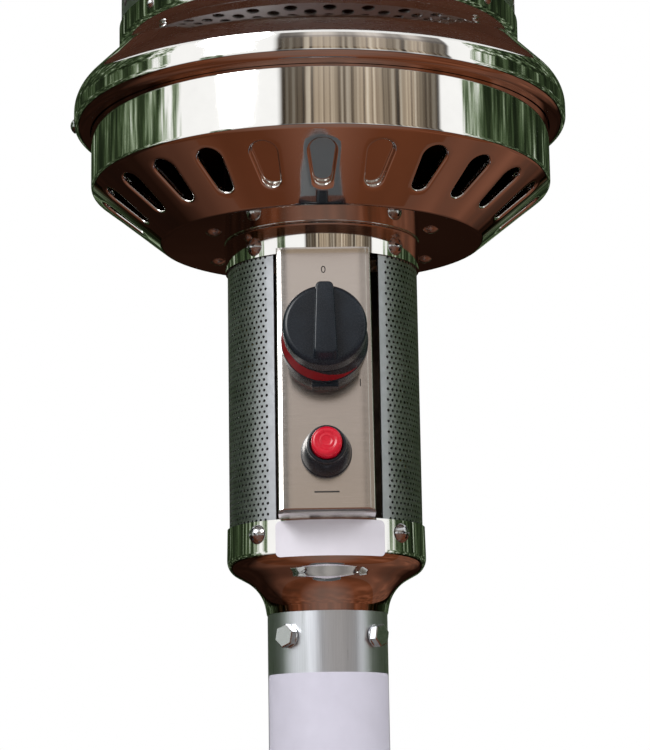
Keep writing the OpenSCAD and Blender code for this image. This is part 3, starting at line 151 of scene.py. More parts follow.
def number_of(name, description, value, least, most):
    """Number of repeated shapes, within limits."""
    return IntProperty(name=name, description=description, default=value, min=least, max=most)


class HeaterSizes(PropertyGroup):
    """Sizes of the pieces that a user would change."""

    post_r: length("Post radius", "Outside of the post's tube", reach_of("post"))
    cup_r: length("Cup radius", "Widest part of the neck cup", reach_of("neck_cup"))
    sleeve_r: length("Sleeve radius", "Outside of the perforated sleeve", 48.6)
    hole_r: length("Sleeve hole radius", "Radius of a hole in the sleeve", 0.77)
    collar_r: length("Collar radius", "Outside of the collar under the pan", reach_of("upper_collar"))
    knob_r: length("Knob radius", "Skirt of the control knob", 20.1)
    grip_w: length("Grip width", "Width of the knob's grip bar", 9.5)
    nut_r: length("Igniter nut radius", "Foot of the igniter's nut", 12.3)
    button_r: length("Igniter button radius", "Outside of the push button", 7.3)
    floor_r: length("Pan floor radius", "Flat underside of the burner pan", 82.4)
    pan_r: length("Pan radius", "Upright band of the burner pan", 118.5)
    slot_wide: length("Slot width, outside", "Width of a slot at its outer end", 12.5)
    slot_narrow: length("Slot width, inside", "Width of a slot at its inner end", 8.6)
    ring_r: length("Shoulder ring radius", "Outside of the shoulder ring", reach_of("shoulder_ring"))
    emitter_r: length("Emitter radius", "Outside of the emitter screen", 103)
    port_r: length("Emitter hole radius", "Radius of a hole in the emitter screen", 4.2)
    reflector_r: length("Reflector radius", "Outside of the reflector", reach_of("reflector"))
    base_r: length("Base radius", "Outside of the round base", 229)
    housing_r: length("Housing radius", "Wall of the tank housing", 205)
    wheel_r: length("Wheel radius", "Tread of a wheel", 28)
    chrome_t: length("Polished sheet", "Thickness of the cup, collar, pan and ring", 0.8)
    post_t: length("Post wall", "Thickness of the post's tube", 1.5)


class HeaterCounts(PropertyGroup):
    """Numbers of repeated shapes."""

    slots: number_of("Pan slots", "Slots round the pan's cone", 24, 6, 24)
    sleeve_pairs: number_of("Sleeve columns", "Pairs of columns in a half", 38, 8, 40)
    sleeve_rows: number_of("Sleeve rows", "Holes in a column", 25, 4, 28)
    screen_pairs: number_of("Screen columns", "Pairs of hole columns", 28, 8, 40)
    screen_rows: number_of("Screen rows", "Holes in a column", 13, 4, 30)


class HeaterColours(PropertyGroup):
    """Colours of the finishes."""

    polished: colour("Polished steel", "Mirror-polished stainless steel", "#ECEBE8")
    satin: colour("Satin steel", "Brushed stainless tube", "#D3D6DC")
    panel: colour("Panel steel", "Fine-brushed control panel", "#DCD7D3")
    zinc: colour("Zinc", "Bright zinc-plated fasteners", "#D2D4D6")
    paint: colour("Powder coat", "Powder-coated base and legs", "#34373A")
    # The blue cast in this black is a painted sheen of the sky
    black: colour("Black plastic", "Moulded black ABS", "#151A20")
    red: colour("Red plastic", "Moulded red ABS", "#BE0E28")
    # The red scale's colour is darkened as painted shade under the knob
    red_print: colour("Red scale", "Red inlay of the heat scale", "#7A0612")
    rubber: colour("Rubber", "Feet and wheels", "#17181A")
    brass: colour("Brass", "Turned brass valve", "#C7A353")
    copper: colour("Copper", "Thermocouple and its lead", "#B4694A")
    iron: colour("Burner iron", "Cast burner head", "#3A3735")
    ceramic: colour("Ceramic", "Glazed alumina insulator", "#EDEAE2")
    aluminium: colour("Aluminium", "Spun reflector", "#D2D4D6")
    heat_tint: colour("Heat tint", "Emitter screen after firing", "#9C8D79")
    label: colour("Cup label", "Blank vinyl label on the cup", "#D5D1DA")
    post_label: colour("Post label", "Blank vinyl label on the post", "#C4C1CF")
    ink: colour("Ink", "Pad-printed dial numbers", "#2A2522")
    floor: colour("Floor", "Pale studio floor", "#E6E5E2")


def in_mm(context):
    """The panel's sizes in millimetres, as the outlines below use them."""
    sizes = context.scene.heater_sizes
    return SimpleNamespace(**{name: getattr(sizes, name) / MM for name in HeaterSizes.__annotations__})


# Outlines: points of (distance from the axis, height), in millimetres


def arc(centre, radius, start, end, steps=8):
    """Points along an arc, angles in degrees."""
    turns = [math.radians(start + (end - start) * i / steps) for i in range(steps + 1)]
    return [Vector((centre[0] + radius * math.cos(a), centre[1] + radius * math.sin(a))) for a in turns]


def held(path):
    """The path with holding points near the ends of its long stretches, so that flats shade flat."""
    points = [Vector(path[0])]
    for raw in path[1:]:
        point = Vector(raw)
        last = points[-1]
        run = point - last
        if run.length > 6 * HOLD:
            points += [last + run.normalized() * HOLD, point - run.normalized() * HOLD]
        if run.length > 1e-6:
            points.append(point)
    return points


def walled(path, wall):
    """Closed outline of bent sheet: the path is its outer side, and the wall lies on the path's left."""
    points = held(path)
    sides = [(b - a).normalized() for a, b in zip(points, points[1:])]
    normals = [Vector((-d.y, d.x)) for d in sides]
    inner = []
    for i, point in enumerate(points):
        after = normals[min(i, len(normals) - 1)]
        middle = (normals[max(i - 1, 0)] + after).normalized()
        inner.append(point + middle * (wall / max(middle.dot(after), 0.3)))
    return points + inner[::-1]


# Meshes, in millimetres until they become pieces


def tidy(bm):
    """Merges doubles and turns the faces of a closed shape outwards."""
    bmesh.ops.remove_doubles(bm, verts=bm.verts, dist=0.002)
    bmesh.ops.dissolve_degenerate(bm, edges=bm.edges, dist=0.001)
    bmesh.ops.recalc_face_normals(bm, faces=bm.faces)


def spin(bm, outline, closed=True, steps=TURN_STEPS):
    """Turns an outline about the Z axis; an outline whose ends are on the axis is left open."""
    verts = [bm.verts.new((r, 0, z)) for r, z in outline]
    pairs = list(zip(verts, verts[1:]))
    if closed:
        pairs.append((verts[-1], verts[0]))
    edges = [bm.edges.new(pair) for pair in pairs]
    bmesh.ops.spin(
        bm, geom=verts + edges, cent=(0, 0, 0), axis=(0, 0, 1), angle=math.tau, steps=steps, use_merge=True
    )


def spun(outline, closed=True, steps=TURN_STEPS):
    """Closed round shape turned from an outline."""
    bm = bmesh.new()
    spin(bm, outline, closed, steps)
    tidy(bm)
    return bm


def moved(bm, place):
    """Takes a whole mesh to its place."""
    bmesh.ops.transform(bm, matrix=place, verts=bm.verts)


def whole(bm):
    """Everything in a mesh, as the operators take it."""
    return bm.verts[:] + bm.edges[:] + bm.faces[:]


def repeated(bm, angle, copies):
    """Copies the whole shape round the axis, the last copy at the angle."""
    bmesh.ops.spin(
        bm, geom=whole(bm), cent=(0, 0, 0), axis=(0, 0, 1), angle=angle, steps=copies, use_duplicate=True
    )


def bevelled(bm, geom, offset, segments, affect="EDGES"):
    """Rounds edges, or the corners of a flat shape."""
    bmesh.ops.bevel(bm, geom=geom, offset=offset, segments=segments, profile=0.5, affect=affect, material=-1)


def verts_of(made):
    """Vertices among the geometry that an operator has made."""
    return [g for g in made["geom"] if isinstance(g, bmesh.types.BMVert)]


def fresh(bm, known):
    """Vertices that have come since the known ones."""
    return [v for v in bm.verts if v not in known]


def around(azimuth):
    """Turn about the axis to a direction from the front; it grows towards +X."""
    return Matrix.Rotation(math.radians(azimuth - 90), 4, "Z")


def outward(azimuth, radius, height):
    """Place on a round face: +Z points away from the axis, +X points down."""
    return around(azimuth) @ Matrix.Translation((radius, 0, height)) @ Matrix.Rotation(math.pi / 2, 4, "Y")


# The control panel's face, as the solid model leans it
PANEL_LEAN = math.radians(7)
PANEL_TOP = top_of("control_panel")
PANEL_OUT = 50.806
KNOB_Z = CUP_TOP + 83.8
IGNITER_Z = CUP_TOP + 29


def on_panel(height):
    """Place on the panel's face: +Z points out of it, +Y runs up it."""
    out = PANEL_OUT + (PANEL_TOP - height) * math.tan(PANEL_LEAN)
    return Matrix.Translation((0, -out, height)) @ Matrix.Rotation(math.pi / 2 - PANEL_LEAN, 4, "X")


def new_object(name, bm, finish_name):
    """Blender object of a mesh that is still in millimetres."""
    bmesh.ops.scale(bm, vec=(MM, MM, MM), verts=bm.verts)
    mesh = bpy.data.meshes.new(name)
    bm.to_mesh(mesh)
    bm.free()
    mesh.shade_smooth()
    mesh.set_sharp_from_angle(angle=SHARP)
    mesh.materials.append(finish(finish_name))
    obj = bpy.data.objects.new(name, mesh)
    bpy.context.scene.collection.objects.link(obj)
    return obj


def piece(name, bm, finish_name, nodes=(), body="root"):
    """A visible piece that rides on a body and stands for solid nodes."""
    obj = new_object(name, bm, finish_name)
    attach(obj, body)
    if nodes:
        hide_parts(*nodes)
    return obj


def formed(name, path, wall, finish_name, node, body="root"):
    """A round piece of bent sheet; the path is its outer side."""
    piece(name, spun(walled(path, wall)), finish_name, [node], body)


def polished(name, path, s, node):
    """A round piece of the head's mirror-polished sheet."""
    formed(name, path, s.chrome_t, "stainless_mirror_polished", node)


def fixings(name, bm, node, body="root"):
    """A set of like zinc-plated fasteners as one piece."""
    tidy(bm)
    piece(name, bm, "steel_zinc_plated", [node], body)


def dressed_alike(finish_name, slot, bevel, *nodes):
    """Dresses several solid nodes with one finish."""
    for node in nodes:
        dressed(node, finish_name, bevel)


def dressed(node, finish_name, bevel=0.0):
    """Merged and smoothed copy of a solid node, with its edges broken by a small bevel."""
    source = frame["nodes"][node]
    bm = bmesh.new()
    bm.from_mesh(source.data)
    bmesh.ops.scale(bm, vec=(1 / MM, 1 / MM, 1 / MM), verts=bm.verts)
    bmesh.ops.remove_doubles(bm, verts=bm.verts, dist=0.002)
    bmesh.ops.dissolve_limit(bm, angle_limit=math.radians(0.5), verts=bm.verts, edges=bm.edges)
    obj = piece(node + "_dressed", bm, finish_name, (node,), body_of(source)[0])
    if bevel:
        edge = obj.modifiers.new("broken edges", "BEVEL")
        edge.width = bevel * MM
        edge.segments = 2
        edge.limit_method = "ANGLE"
        edge.angle_limit = math.radians(40)
        edge.harden_normals = True
    else:
        obj.modifiers.new("flat faces", "WEIGHTED_NORMAL").keep_sharp = True
    return obj


def plate(bm, x0, x1, y0, y1, columns, rows):
    """Flat grid of faces over a rectangle."""
    place = Matrix.Translation(((x0 + x1) / 2, (y0 + y1) / 2, 0))
    size = Matrix.Diagonal((x1 - x0, y1 - y0, 1, 1))
    grid = {"x_segments": columns, "y_segments": rows, "size": 0.5, "matrix": place @ size}
    return bmesh.ops.create_grid(bm, **grid)["verts"]


def hole_cell(bm, x0, y0, wide, tall, radius, cuts):
    """One cell of a perforated sheet: a ring of faces from its edge to a round hole."""
    edge = plate(bm, x0, x0 + wide, y0, y0 + tall, 2, cuts)
    inside = [v for v in edge if not v.is_boundary]
    rim = [v for v in edge if v.is_boundary]
    bmesh.ops.delete(bm, geom=inside, context="VERTS")
    centre = Matrix.Translation((x0 + wide / 2, y0 + tall / 2, 0))
    hole = bmesh.ops.create_circle(bm, segments=2 * cuts + 4, radius=radius, matrix=centre)["verts"]
    loops = {e for v in rim + hole for e in v.link_edges}
    bmesh.ops.bridge_loops(bm, edges=list(loops))


def perforated(radius, start, step, pairs, rows, low, high, pitch, hole_r, side, cuts=4):
    """Round wall of staggered holes: pairs of columns from an angle on, with a plain edge of some degrees."""
    margin = (high - low - (rows + 0.5) * pitch) / 2
    first, last = low + margin, high - margin
    chord = math.radians(step) * radius
    bm = bmesh.new()
    for row in range(rows):
        hole_cell(bm, 0, first + row * pitch, chord, pitch, hole_r, cuts)
        hole_cell(bm, chord, first + (row + 0.5) * pitch, chord, pitch, hole_r, cuts)
    plate(bm, 0, chord, last - pitch / 2, last, 2, cuts // 2)
    plate(bm, chord, 2 * chord, first, first + pitch / 2, 2, cuts // 2)
    for x in (0, chord):
        plate(bm, x, x + chord, low, first, 2, 2)
        plate(bm, x, x + chord, last, high, 2, 2)
    roll(bm.verts, radius, start)
    repeated(bm, math.radians(2 * step) * (pairs - 1), pairs - 1)
    if side:
        wide = math.radians(side) * radius
        for begin in (start - side, start + 2 * step * pairs):
            strips = plate(bm, 0, wide, low, first, 1, 2)
            strips += plate(bm, 0, wide, first, last, 1, cuts * rows + cuts // 2)
            strips += plate(bm, 0, wide, last, high, 1, 2)
            roll(strips, radius, begin)
    bmesh.ops.remove_doubles(bm, verts=bm.verts, dist=0.01)
    return bm


def roll(verts, radius, start):
    """Bends flat points, with X along the sheet and Y up it, round the axis from an angle on."""
    for v in list(verts):
        a = math.radians(start - 90) + v.co.x / radius
        v.co = (radius * math.cos(a), radius * math.sin(a), v.co.y)


def thicken_round(bm, radius, wall):
    """Gives a round wall its thickness towards the axis."""
    inner = verts_of(bmesh.ops.extrude_face_region(bm, geom=bm.faces[:], use_keep_orig=True))
    share = (radius - wall) / radius
    bmesh.ops.scale(bm, vec=(share, share, 1), verts=inner)
    bmesh.ops.recalc_face_normals(bm, faces=bm.faces)


def label(name, finish_name, size, corner, cuts, skin, foot, azimuth):
    """Blank film label with round corners, rolled onto a round skin."""
    wide, tall = size
    bm = bmesh.new()
    plate(bm, -wide / 2, wide / 2, 0, tall, 1, 1)
    bevelled(bm, bm.verts[:], corner, 5, "VERTICES")
    for i in range(1, cuts):
        x = -wide / 2 + wide * i / cuts
        bmesh.ops.bisect_plane(bm, geom=whole(bm), plane_co=(x, 0, 0), plane_no=(1, 0, 0))
    bmesh.ops.translate(bm, vec=(0, foot, 0), verts=bm.verts)
    roll(bm.verts, skin, azimuth)
    thicken_round(bm, skin, FILM)
    piece(name, bm, finish_name)


def dome_head(bm, place, radius, height, shank):
    """Dome-head screw with a cross recess, its head on the place and its shank below."""
    ball = (radius * radius + height * height) / (2 * height)
    top = math.degrees(math.asin(radius / ball))
    shank_r = radius * 0.5
    known = set(bm.verts)
    dome = arc((0, height - ball), ball, 90, 90 - top, 8)
    spin(bm, dome + [(shank_r, 0), (shank_r, -shank), (0, -shank)], False, 24)
    made = fresh(bm, known)
    bmesh.ops.remove_doubles(bm, verts=made, dist=0.002)
    cross = []
    for face in {f for v in made if v.is_valid for f in v.link_faces}:
        c = face.calc_center_median()
        turn = math.degrees(math.atan2(c.y, c.x)) % 90
        if c.z > 0 and math.hypot(c.x, c.y) < 0.62 * radius and min(turn, 90 - turn) < 16:
            cross.append(face)
    low = verts_of(bmesh.ops.extrude_face_region(bm, geom=cross))
    bmesh.ops.delete(bm, geom=[f for f in cross if f.is_valid], context="FACES_ONLY")
    bmesh.ops.translate(bm, vec=(0, 0, -0.45 * height), verts=low)
    bmesh.ops.transform(bm, matrix=place, verts=fresh(bm, known))


def hex_head(bm, place, radius, height, shank, washer):
    """Hexagon-head bolt with a chamfered head and a round flange under it."""
    known = set(bm.verts)
    flange, sunk = 1.0, 0.8
    ring = [(0, -shank), (radius * 0.5, -shank), (radius * 0.5, 0), (washer, 0), (washer, 0.7)]
    spin(bm, ring + [(washer - 0.5, flange), (0, flange)], False, 32)
    depth = height - sunk
    middle = Matrix.Translation((0, 0, sunk + depth / 2))
    made = bmesh.ops.create_cone(
        bm, cap_ends=True, segments=6, radius1=radius, radius2=radius, depth=depth, matrix=middle
    )
    top = [e for v in made["verts"] for e in v.link_edges if all(w.co.z > height - 0.1 for w in e.verts)]
    bevelled(bm, list(set(top)), 0.5, 1)
    bmesh.ops.transform(bm, matrix=place, verts=fresh(bm, known))


# Finishes


def fill(tree, node, inputs):
    """Fills a node's inputs with values, with outputs, or with the first outputs of other nodes."""
    for key, value in inputs.items():
        if isinstance(value, Node):
            value = value.outputs[0]
        if isinstance(value, NodeSocket):
            tree.links.new(value, node.inputs[key])
        else:
            node.inputs[key].default_value = value


def add(tree, kind, inputs=None, stops=None, **settings):
    """Adds a node with its settings, its inputs and the stops of its ramp."""
    node = tree.nodes.new("ShaderNode" + kind)
    for name, value in settings.items():
        setattr(node, name, value)
    fill(tree, node, inputs or {})
    if stops:
        ramp = node.color_ramp
        while len(ramp.elements) < len(stops):
            ramp.elements.new(1.0)
        for element, (place, shade) in zip(ramp.elements, stops):
            element.position = place
            element.color = shade
    return node


def grey(value):
    """Opaque grey of a linear value."""
    return (value, value, value, 1.0)


def hexes(*stops):
    """Ramp stops from places and sRGB hex colours."""
    return [(place, linear(shade)) for place, shade in stops]


def tones(name, *stops):
    """Ramp stops of one colour of the panel: places, and shares of the colour's light."""
    shade = getattr(bpy.context.scene.heater_colours, name)[:3]
    return [(place, tuple(min(1.0, c * share) for c in shade) + (1.0,)) for place, share in stops]


def ranged(value, low, high, first, last):
    """Inputs that map a value from low..high to first..last."""
    return {"Value": value, "From Min": low, "From Max": high, "To Min": first, "To Max": last}


def per_mm(size):
    """Scale of a pattern whose features are this many millimetres wide."""
    return 1 / (size * MM)


def place_of(tree, scale=(1, 1, 1)):
    """The piece's own Object coordinates, stretched."""
    return add(tree, "Mapping", {"Vector": add(tree, "TexCoord").outputs["Object"], "Scale": scale})


def at_size(tree, size, detail, scale=(1, 1, 1)):
    """Inputs of a pattern over the piece, with features this many millimetres wide."""
    return {"Vector": place_of(tree, scale), "Scale": per_mm(size), "Detail": detail}


def coat(tree, shader, pattern, stops, rough, relief=None, **others):
    """Joins a finish: tone stops over a pattern, a roughness, a relief and the shader's other inputs.

    A roughness is a number, a node, or a pattern with its least and greatest value. A relief is a pattern
    with its strength and its depth in millimetres."""
    look = {"Base Color": add(tree, "ValToRGB", {"Fac": pattern}, stops), "Roughness": rough}
    if isinstance(rough, tuple):
        cloud, least, most = rough
        look["Roughness"] = add(tree, "MapRange", ranged(cloud, 0.0, 1.0, least, most))
    if relief:
        height, strength, depth = relief
        look["Normal"] = add(tree, "Bump", {"Height": height, "Strength": strength, "Distance": depth * MM})
    fill(tree, shader, look | others)


FINISHES = {}


def listed(make):
    """Keeps a finish under its own name."""
    FINISHES[make.__name__] = make
    return make


@listed
def stainless_mirror_polished(tree, shader):
    """Cold-rolled stainless, buffed to a mirror: clear reflections that waver a little with the pressed
    sheet, and faint fingermarks that dull them in patches."""
    smudge = add(tree, "TexNoise", at_size(tree, 22, 4.0) | {"Roughness": 0.6})
    sheet = add(tree, "TexNoise", at_size(tree, 34, 1.0))
    dull = add(tree, "ValToRGB", {"Fac": smudge}, [(0.35, grey(0.035)), (0.6, grey(0.05)), (0.8, grey(0.1))])
    tone = tones("polished", (0.3, 1.0), (0.8, 0.93))
    coat(tree, shader, smudge, tone, dull, (sheet, 0.05, 1.2), Metallic=1.0)


@listed
def stainless_satin_tube(tree, shader):
    """Stainless tube, belt-brushed along its length: a soft sheen drawn out into fine upright streaks."""
    # The brush lines are drawn 0.5 mm apart, coarser than real ones, so that they show
    lines = add(tree, "TexNoise", at_size(tree, 0.5, 3.0, (1, 1, 0.02)))
    cloud = add(tree, "TexNoise", at_size(tree, 60, 3.0))
    both = add(tree, "Math", {0: lines, 1: cloud}, operation="ADD")
    rough = add(tree, "MapRange", ranged(both, 0.6, 1.4, 0.24, 0.38))
    tone = tones("satin", (0.3, 0.9), (0.7, 1.0))
    coat(tree, shader, lines, tone, rough, (lines, 0.06, 0.05), Metallic=1.0)


@listed
def stainless_perforated(tree, shader):
    """Punched stainless sheet with its mill finish: a cloudy, half-dull grain that blurs what it mirrors."""
    cloud = add(tree, "TexNoise", at_size(tree, 14, 5.0) | {"Roughness": 0.65})
    punch = add(tree, "TexNoise", at_size(tree, 2.2, 1.0))
    tone = tones("satin", (0.3, 0.62), (0.7, 0.8))
    coat(tree, shader, cloud, tone, (cloud, 0.24, 0.38), (punch, 0.4, 0.15), Metallic=1.0)


@listed
def stainless_panel_brushed(tree, shader):
    """Bright-rolled stainless panel: soft mirror images under a milky sheen of very fine level lines."""
    # The lines are drawn 0.35 mm apart, coarser than real ones, so that they show
    lines = add(tree, "TexNoise", at_size(tree, 0.35, 3.0, (0.03, 1, 1)))
    tone = tones("panel", (0.3, 0.93), (0.7, 1.0))
    coat(tree, shader, lines, tone, (lines, 0.12, 0.22), (lines, 0.03, 0.03), Metallic=1.0)


@listed
def stainless_mill_stained(tree, shader):
    """Inner side of the burner's sheet: dull mill finish, stained brown and grey by heat and soot, and
    darkened as painted shade inside the head.
    """
    cloud = add(tree, "TexNoise", at_size(tree, 18, 5.0))
    tone = hexes((0.3, "#3A302A"), (0.7, "#6E5D52"))
    coat(tree, shader, cloud, tone, (cloud, 0.38, 0.55), Metallic=1.0)


@listed
def steel_zinc_plated(tree, shader):
    """Pressed steel, bright zinc-plated: a light, slightly cloudy metal with a grey cast in the hollows."""
    cloud = add(tree, "TexNoise", at_size(tree, 2.5, 4.0))
    tone = tones("zinc", (0.3, 0.82), (0.7, 1.0))
    coat(tree, shader, cloud, tone, (cloud, 0.14, 0.3), Metallic=1.0)


@listed
def steel_powder_coated(tree, shader):
    """Mild steel under baked powder: a closed grey skin with the fine dimples of orange peel."""
    peel = add(tree, "TexNoise", at_size(tree, 1.6, 2.0))
    cloud = add(tree, "TexNoise", at_size(tree, 45, 4.0))
    tone = tones("paint", (0.3, 0.9), (0.7, 1.08))
    coat(tree, shader, cloud, tone, (cloud, 0.34, 0.5), (peel, 0.18, 0.12))


@listed
def abs_black_moulded(tree, shader):
    """Black ABS from a spark-eroded mould: a satin skin whose fine grain breaks up the highlights; its blue
    cast is a painted sheen of the sky.
    """
    grain = add(tree, "TexNoise", at_size(tree, 0.6, 2.0))
    cloud = add(tree, "TexNoise", at_size(tree, 12, 3.0))
    tone = tones("black", (0.3, 1.0), (0.75, 1.5))
    soft = {"Specular IOR Level": 0.34}
    coat(tree, shader, cloud, tone, (grain, 0.2, 0.34), (grain, 0.06, 0.04), **soft)


@listed
def abs_red_moulded(tree, shader):
    """Red ABS from a polished mould: a clear, even red with a soft gloss."""
    cloud = add(tree, "TexNoise", at_size(tree, 4, 3.0))
    coat(tree, shader, cloud, tones("red", (0.3, 0.92), (0.7, 1.0)), (cloud, 0.2, 0.34), IOR=1.53)


@listed
def red_scale_inlay(tree, shader):
    """Red paint laid into the dial ring's groove: flat and slightly uneven, its red darkened as painted shade
    under the knob.
    """
    cloud = add(tree, "TexNoise", at_size(tree, 1.5, 4.0))
    soft = {"Specular IOR Level": 0.2}
    coat(tree, shader, cloud, tones("red_print", (0.3, 0.85), (0.7, 1.0)), 0.42, **soft)


@listed
def rubber_moulded(tree, shader):
    """Moulded black rubber: matt, a little dusty in the hollows."""
    dust = add(tree, "TexNoise", at_size(tree, 5, 5.0))
    coat(tree, shader, dust, tones("rubber", (0.35, 1.0), (0.75, 1.9)), 0.72, (dust, 0.15, 0.1))


@listed
def brass_turned(tree, shader):
    """Turned and tumbled brass: warm metal with a patchy tarnish."""
    cloud = add(tree, "TexNoise", at_size(tree, 5, 4.0))
    tone = tones("brass", (0.3, 0.7), (0.7, 1.0))
    coat(tree, shader, cloud, tone, (cloud, 0.2, 0.4), Metallic=1.0)


@listed
def copper_drawn(tree, shader):
    """Drawn copper tube: reddish metal, browned in patches by heat."""
    cloud = add(tree, "TexNoise", at_size(tree, 4, 4.0))
    coat(tree, shader, cloud, tones("copper", (0.3, 0.6), (0.7, 1.0)), 0.32, Metallic=1.0)


@listed
def iron_cast(tree, shader):
    """Sand-cast iron: dark, grainy and dull, with a rusty tinge in the pits."""
    grain = add(tree, "TexNoise", at_size(tree, 1.2, 4.0))
    tone = hexes((0.3, "#4A2E20")) + tones("iron", (0.5, 1.0), (0.75, 1.4))
    coat(tree, shader, grain, tone, 0.62, (grain, 0.35, 0.25), Metallic=0.6)


@listed
def alumina_glazed(tree, shader):
    """Glazed alumina: a creamy white insulator with a wet gloss."""
    cloud = add(tree, "TexNoise", at_size(tree, 6, 3.0))
    coat(tree, shader, cloud, tones("ceramic", (0.3, 0.88), (0.7, 1.0)), 0.18)


@listed
def aluminium_spun(tree, shader):
    """Spun aluminium dish: bright metal with the fine rings that the spinning tool leaves."""
    # A radian of the wave is 3 mm: the rings are 19 mm apart, coarser than real ones, so that they show
    fine = {"Vector": place_of(tree), "Scale": per_mm(3) / 20, "Distortion": 0.4, "Detail": 2.0}
    rings = add(tree, "TexWave", fine, wave_type="RINGS", rings_direction="Z").outputs["Fac"]
    cloud = add(tree, "TexNoise", at_size(tree, 50, 4.0))
    tone = tones("aluminium", (0.3, 0.9), (0.7, 1.0))
    coat(tree, shader, cloud, tone, (cloud, 0.2, 0.36), (rings, 0.08, 0.06), Metallic=1.0)


@listed
def stainless_heat_tinted(tree, shader):
    """Perforated stainless that has been fired: straw and brown heat colours, deeper towards the top."""
    height = add(tree, "SeparateXYZ", {"Vector": place_of(tree)}).outputs["Z"]
    rise = add(tree, "MapRange", ranged(height, (POST_TOP + 300) * MM, (POST_TOP + 500) * MM, 0.0, 1.0))
    cloud = add(tree, "TexNoise", at_size(tree, 40, 4.0))
    heat = add(tree, "MapRange", ranged(cloud, 0.3, 0.7, -0.15, 0.15))
    both = add(tree, "Math", {0: rise, 1: heat}, operation="ADD")
    tone = tones("satin", (0.05, 1.0)) + tones("heat_tint", (0.5, 1.0)) + hexes((0.95, "#5E4A40"))
    coat(tree, shader, both, tone, (cloud, 0.26, 0.44), Metallic=1.0)


def vinyl_label(tree, shader, name):
    """Printed vinyl film: flat colour under a thin gloss, lifted a little by dust."""
    cloud = add(tree, "TexNoise", at_size(tree, 9, 4.0))
    coat(tree, shader, cloud, tones(name, (0.3, 0.95), (0.7, 1.0)), (cloud, 0.3, 0.46))


@listed
def vinyl_label_white(tree, shader):
    """White vinyl."""
    vinyl_label(tree, shader, "label")


@listed
def vinyl_label_lavender(tree, shader):
    """Pale lavender vinyl."""
    vinyl_label(tree, shader, "post_label")


@listed
def ink_pad_printed(tree, shader):
    """Pad-printed dark ink: thin and matt, worn lighter in specks."""
    specks = add(tree, "TexNoise", at_size(tree, 0.5, 3.0))
    coat(tree, shader, specks, tones("ink", (0.55, 1.0), (0.8, 3.0)), 0.55)


@listed
def floor_matt(tree, shader):
    """Matt painted studio floor: pale, with the faintest mottling."""
    cloud = add(tree, "TexNoise", at_size(tree, 400, 3.0))
    coat(tree, shader, cloud, tones("floor", (0.3, 0.98), (0.7, 1.0)), 0.8)


def finish(name):
    """The finish of that name, made the first time it is asked for."""
    found = bpy.data.materials.get(name)
    if found is None:
        found = bpy.data.materials.new(name)
        found.use_nodes = True
        FINISHES[name](found.node_tree, found.node_tree.nodes["Principled BSDF"])
    return found


# Reflection cards of the stage: only mirrors and gloss see them


def card(name, path, shade):
    """Round card, turned from a path in metres, that shows only in reflections."""
    bm = bmesh.new()
    spin(bm, path, False, 64)
    bmesh.ops.remove_doubles(bm, verts=bm.verts, dist=0.001)
    mesh = bpy.data.meshes.new(name)
    bm.to_mesh(mesh)
    bm.free()
    mat = bpy.data.materials.new(name)
    mat.use_nodes = True
    mat.node_tree.nodes.clear()
    shade(mat.node_tree)
    mat.cycles.emission_sampling = "NONE"
    mesh.materials.append(mat)
    obj = bpy.data.objects.new(name, mesh)
    bpy.context.scene.collection.objects.link(obj)
    obj.visible_camera = False
    obj.visible_diffuse = False
    obj.visible_transmission = False
    obj.visible_shadow = False
    return obj


def glow_over(tree, shade, strength):
    """Ends a card that adds its light to what stands behind it."""
    glow = add(tree, "Emission", {"Color": shade, "Strength": strength})
    both = add(tree, "AddShader", {0: glow, 1: add(tree, "BsdfTransparent")})
    add(tree, "OutputMaterial", {"Surface": both})


def azimuth_share(tree, x, y):
    """Direction from the front as a share of a turn, with the front at a half."""
    front = add(tree, "Math", {0: y, 1: -1.0}, operation="MULTIPLY")
    turn = add(tree, "Math", {0: x, 1: front}, operation="ARCTAN2")
    return add(tree, "MapRange", ranged(turn, -math.pi, math.pi, 0.0, 1.0))


def spans(*stops):
    """Ramp stops from azimuths, in degrees from the front, and linear greys."""
    return [(azimuth / 360 + 0.5, grey(value)) for azimuth, value in stops]


def brick_ground(tree):
    """Brown brick paving, with painted shade that darkens it behind the heater and to its left, paler in
    front, clear from below.
    """
    where = add(tree, "TexCoord").outputs["Object"]
    paving = add(tree, "TexNoise", {"Vector": where, "Scale": 0.9, "Detail": 1.5, "Roughness": 0.4})
    brown = hexes((0.3, "#54301F"), (0.5, "#683924"), (0.72, "#824D36"))
    bricks = add(tree, "ValToRGB", {"Fac": paving}, brown)
    x, y, _ = add(tree, "SeparateXYZ", {"Vector": where}).outputs
    # The pale sector opens from the heater towards the viewer
    aside = add(tree, "Math", {0: x}, operation="ABSOLUTE")
    away = add(tree, "Math", {0: 0.3, 1: y}, operation="SUBTRACT")
    spread = add(tree, "Math", {0: aside, 1: away}, operation="DIVIDE")
    middle = add(tree, "MapRange", ranged(spread, 0.25, 1.2, 1.0, 0.0))
    ahead = add(tree, "MapRange", ranged(y, -0.25, -1.2, 0.12, 0.45))
    path = add(tree, "Math", {0: middle, 1: ahead}, operation="MULTIPLY")
    tone = add(tree, "Mix", {0: path, 6: bricks, 7: linear("#947B71")}, data_type="RGBA").outputs[2]
    # Painted shade: the paving darkens away from the viewer, and sooner on the left
    right = add(tree, "Math", {0: x, 1: 0.0}, operation="MAXIMUM")
    slant = add(tree, "Math", {0: x, 1: -0.45, 2: y}, operation="MULTIPLY_ADD")
    depth = add(tree, "Math", {0: right, 1: -0.55, 2: slant}, operation="MULTIPLY_ADD")
    painted_shade = add(tree, "MapRange", ranged(depth, -0.35, 2.5, 1.0, 0.08))
    under = add(tree, "NewGeometry").outputs["Backfacing"]
    above = add(tree, "Math", {0: 1.0, 1: under}, operation="SUBTRACT")
    glow_over(tree, tone, add(tree, "Math", {0: painted_shade, 1: above}, operation="MULTIPLY"))


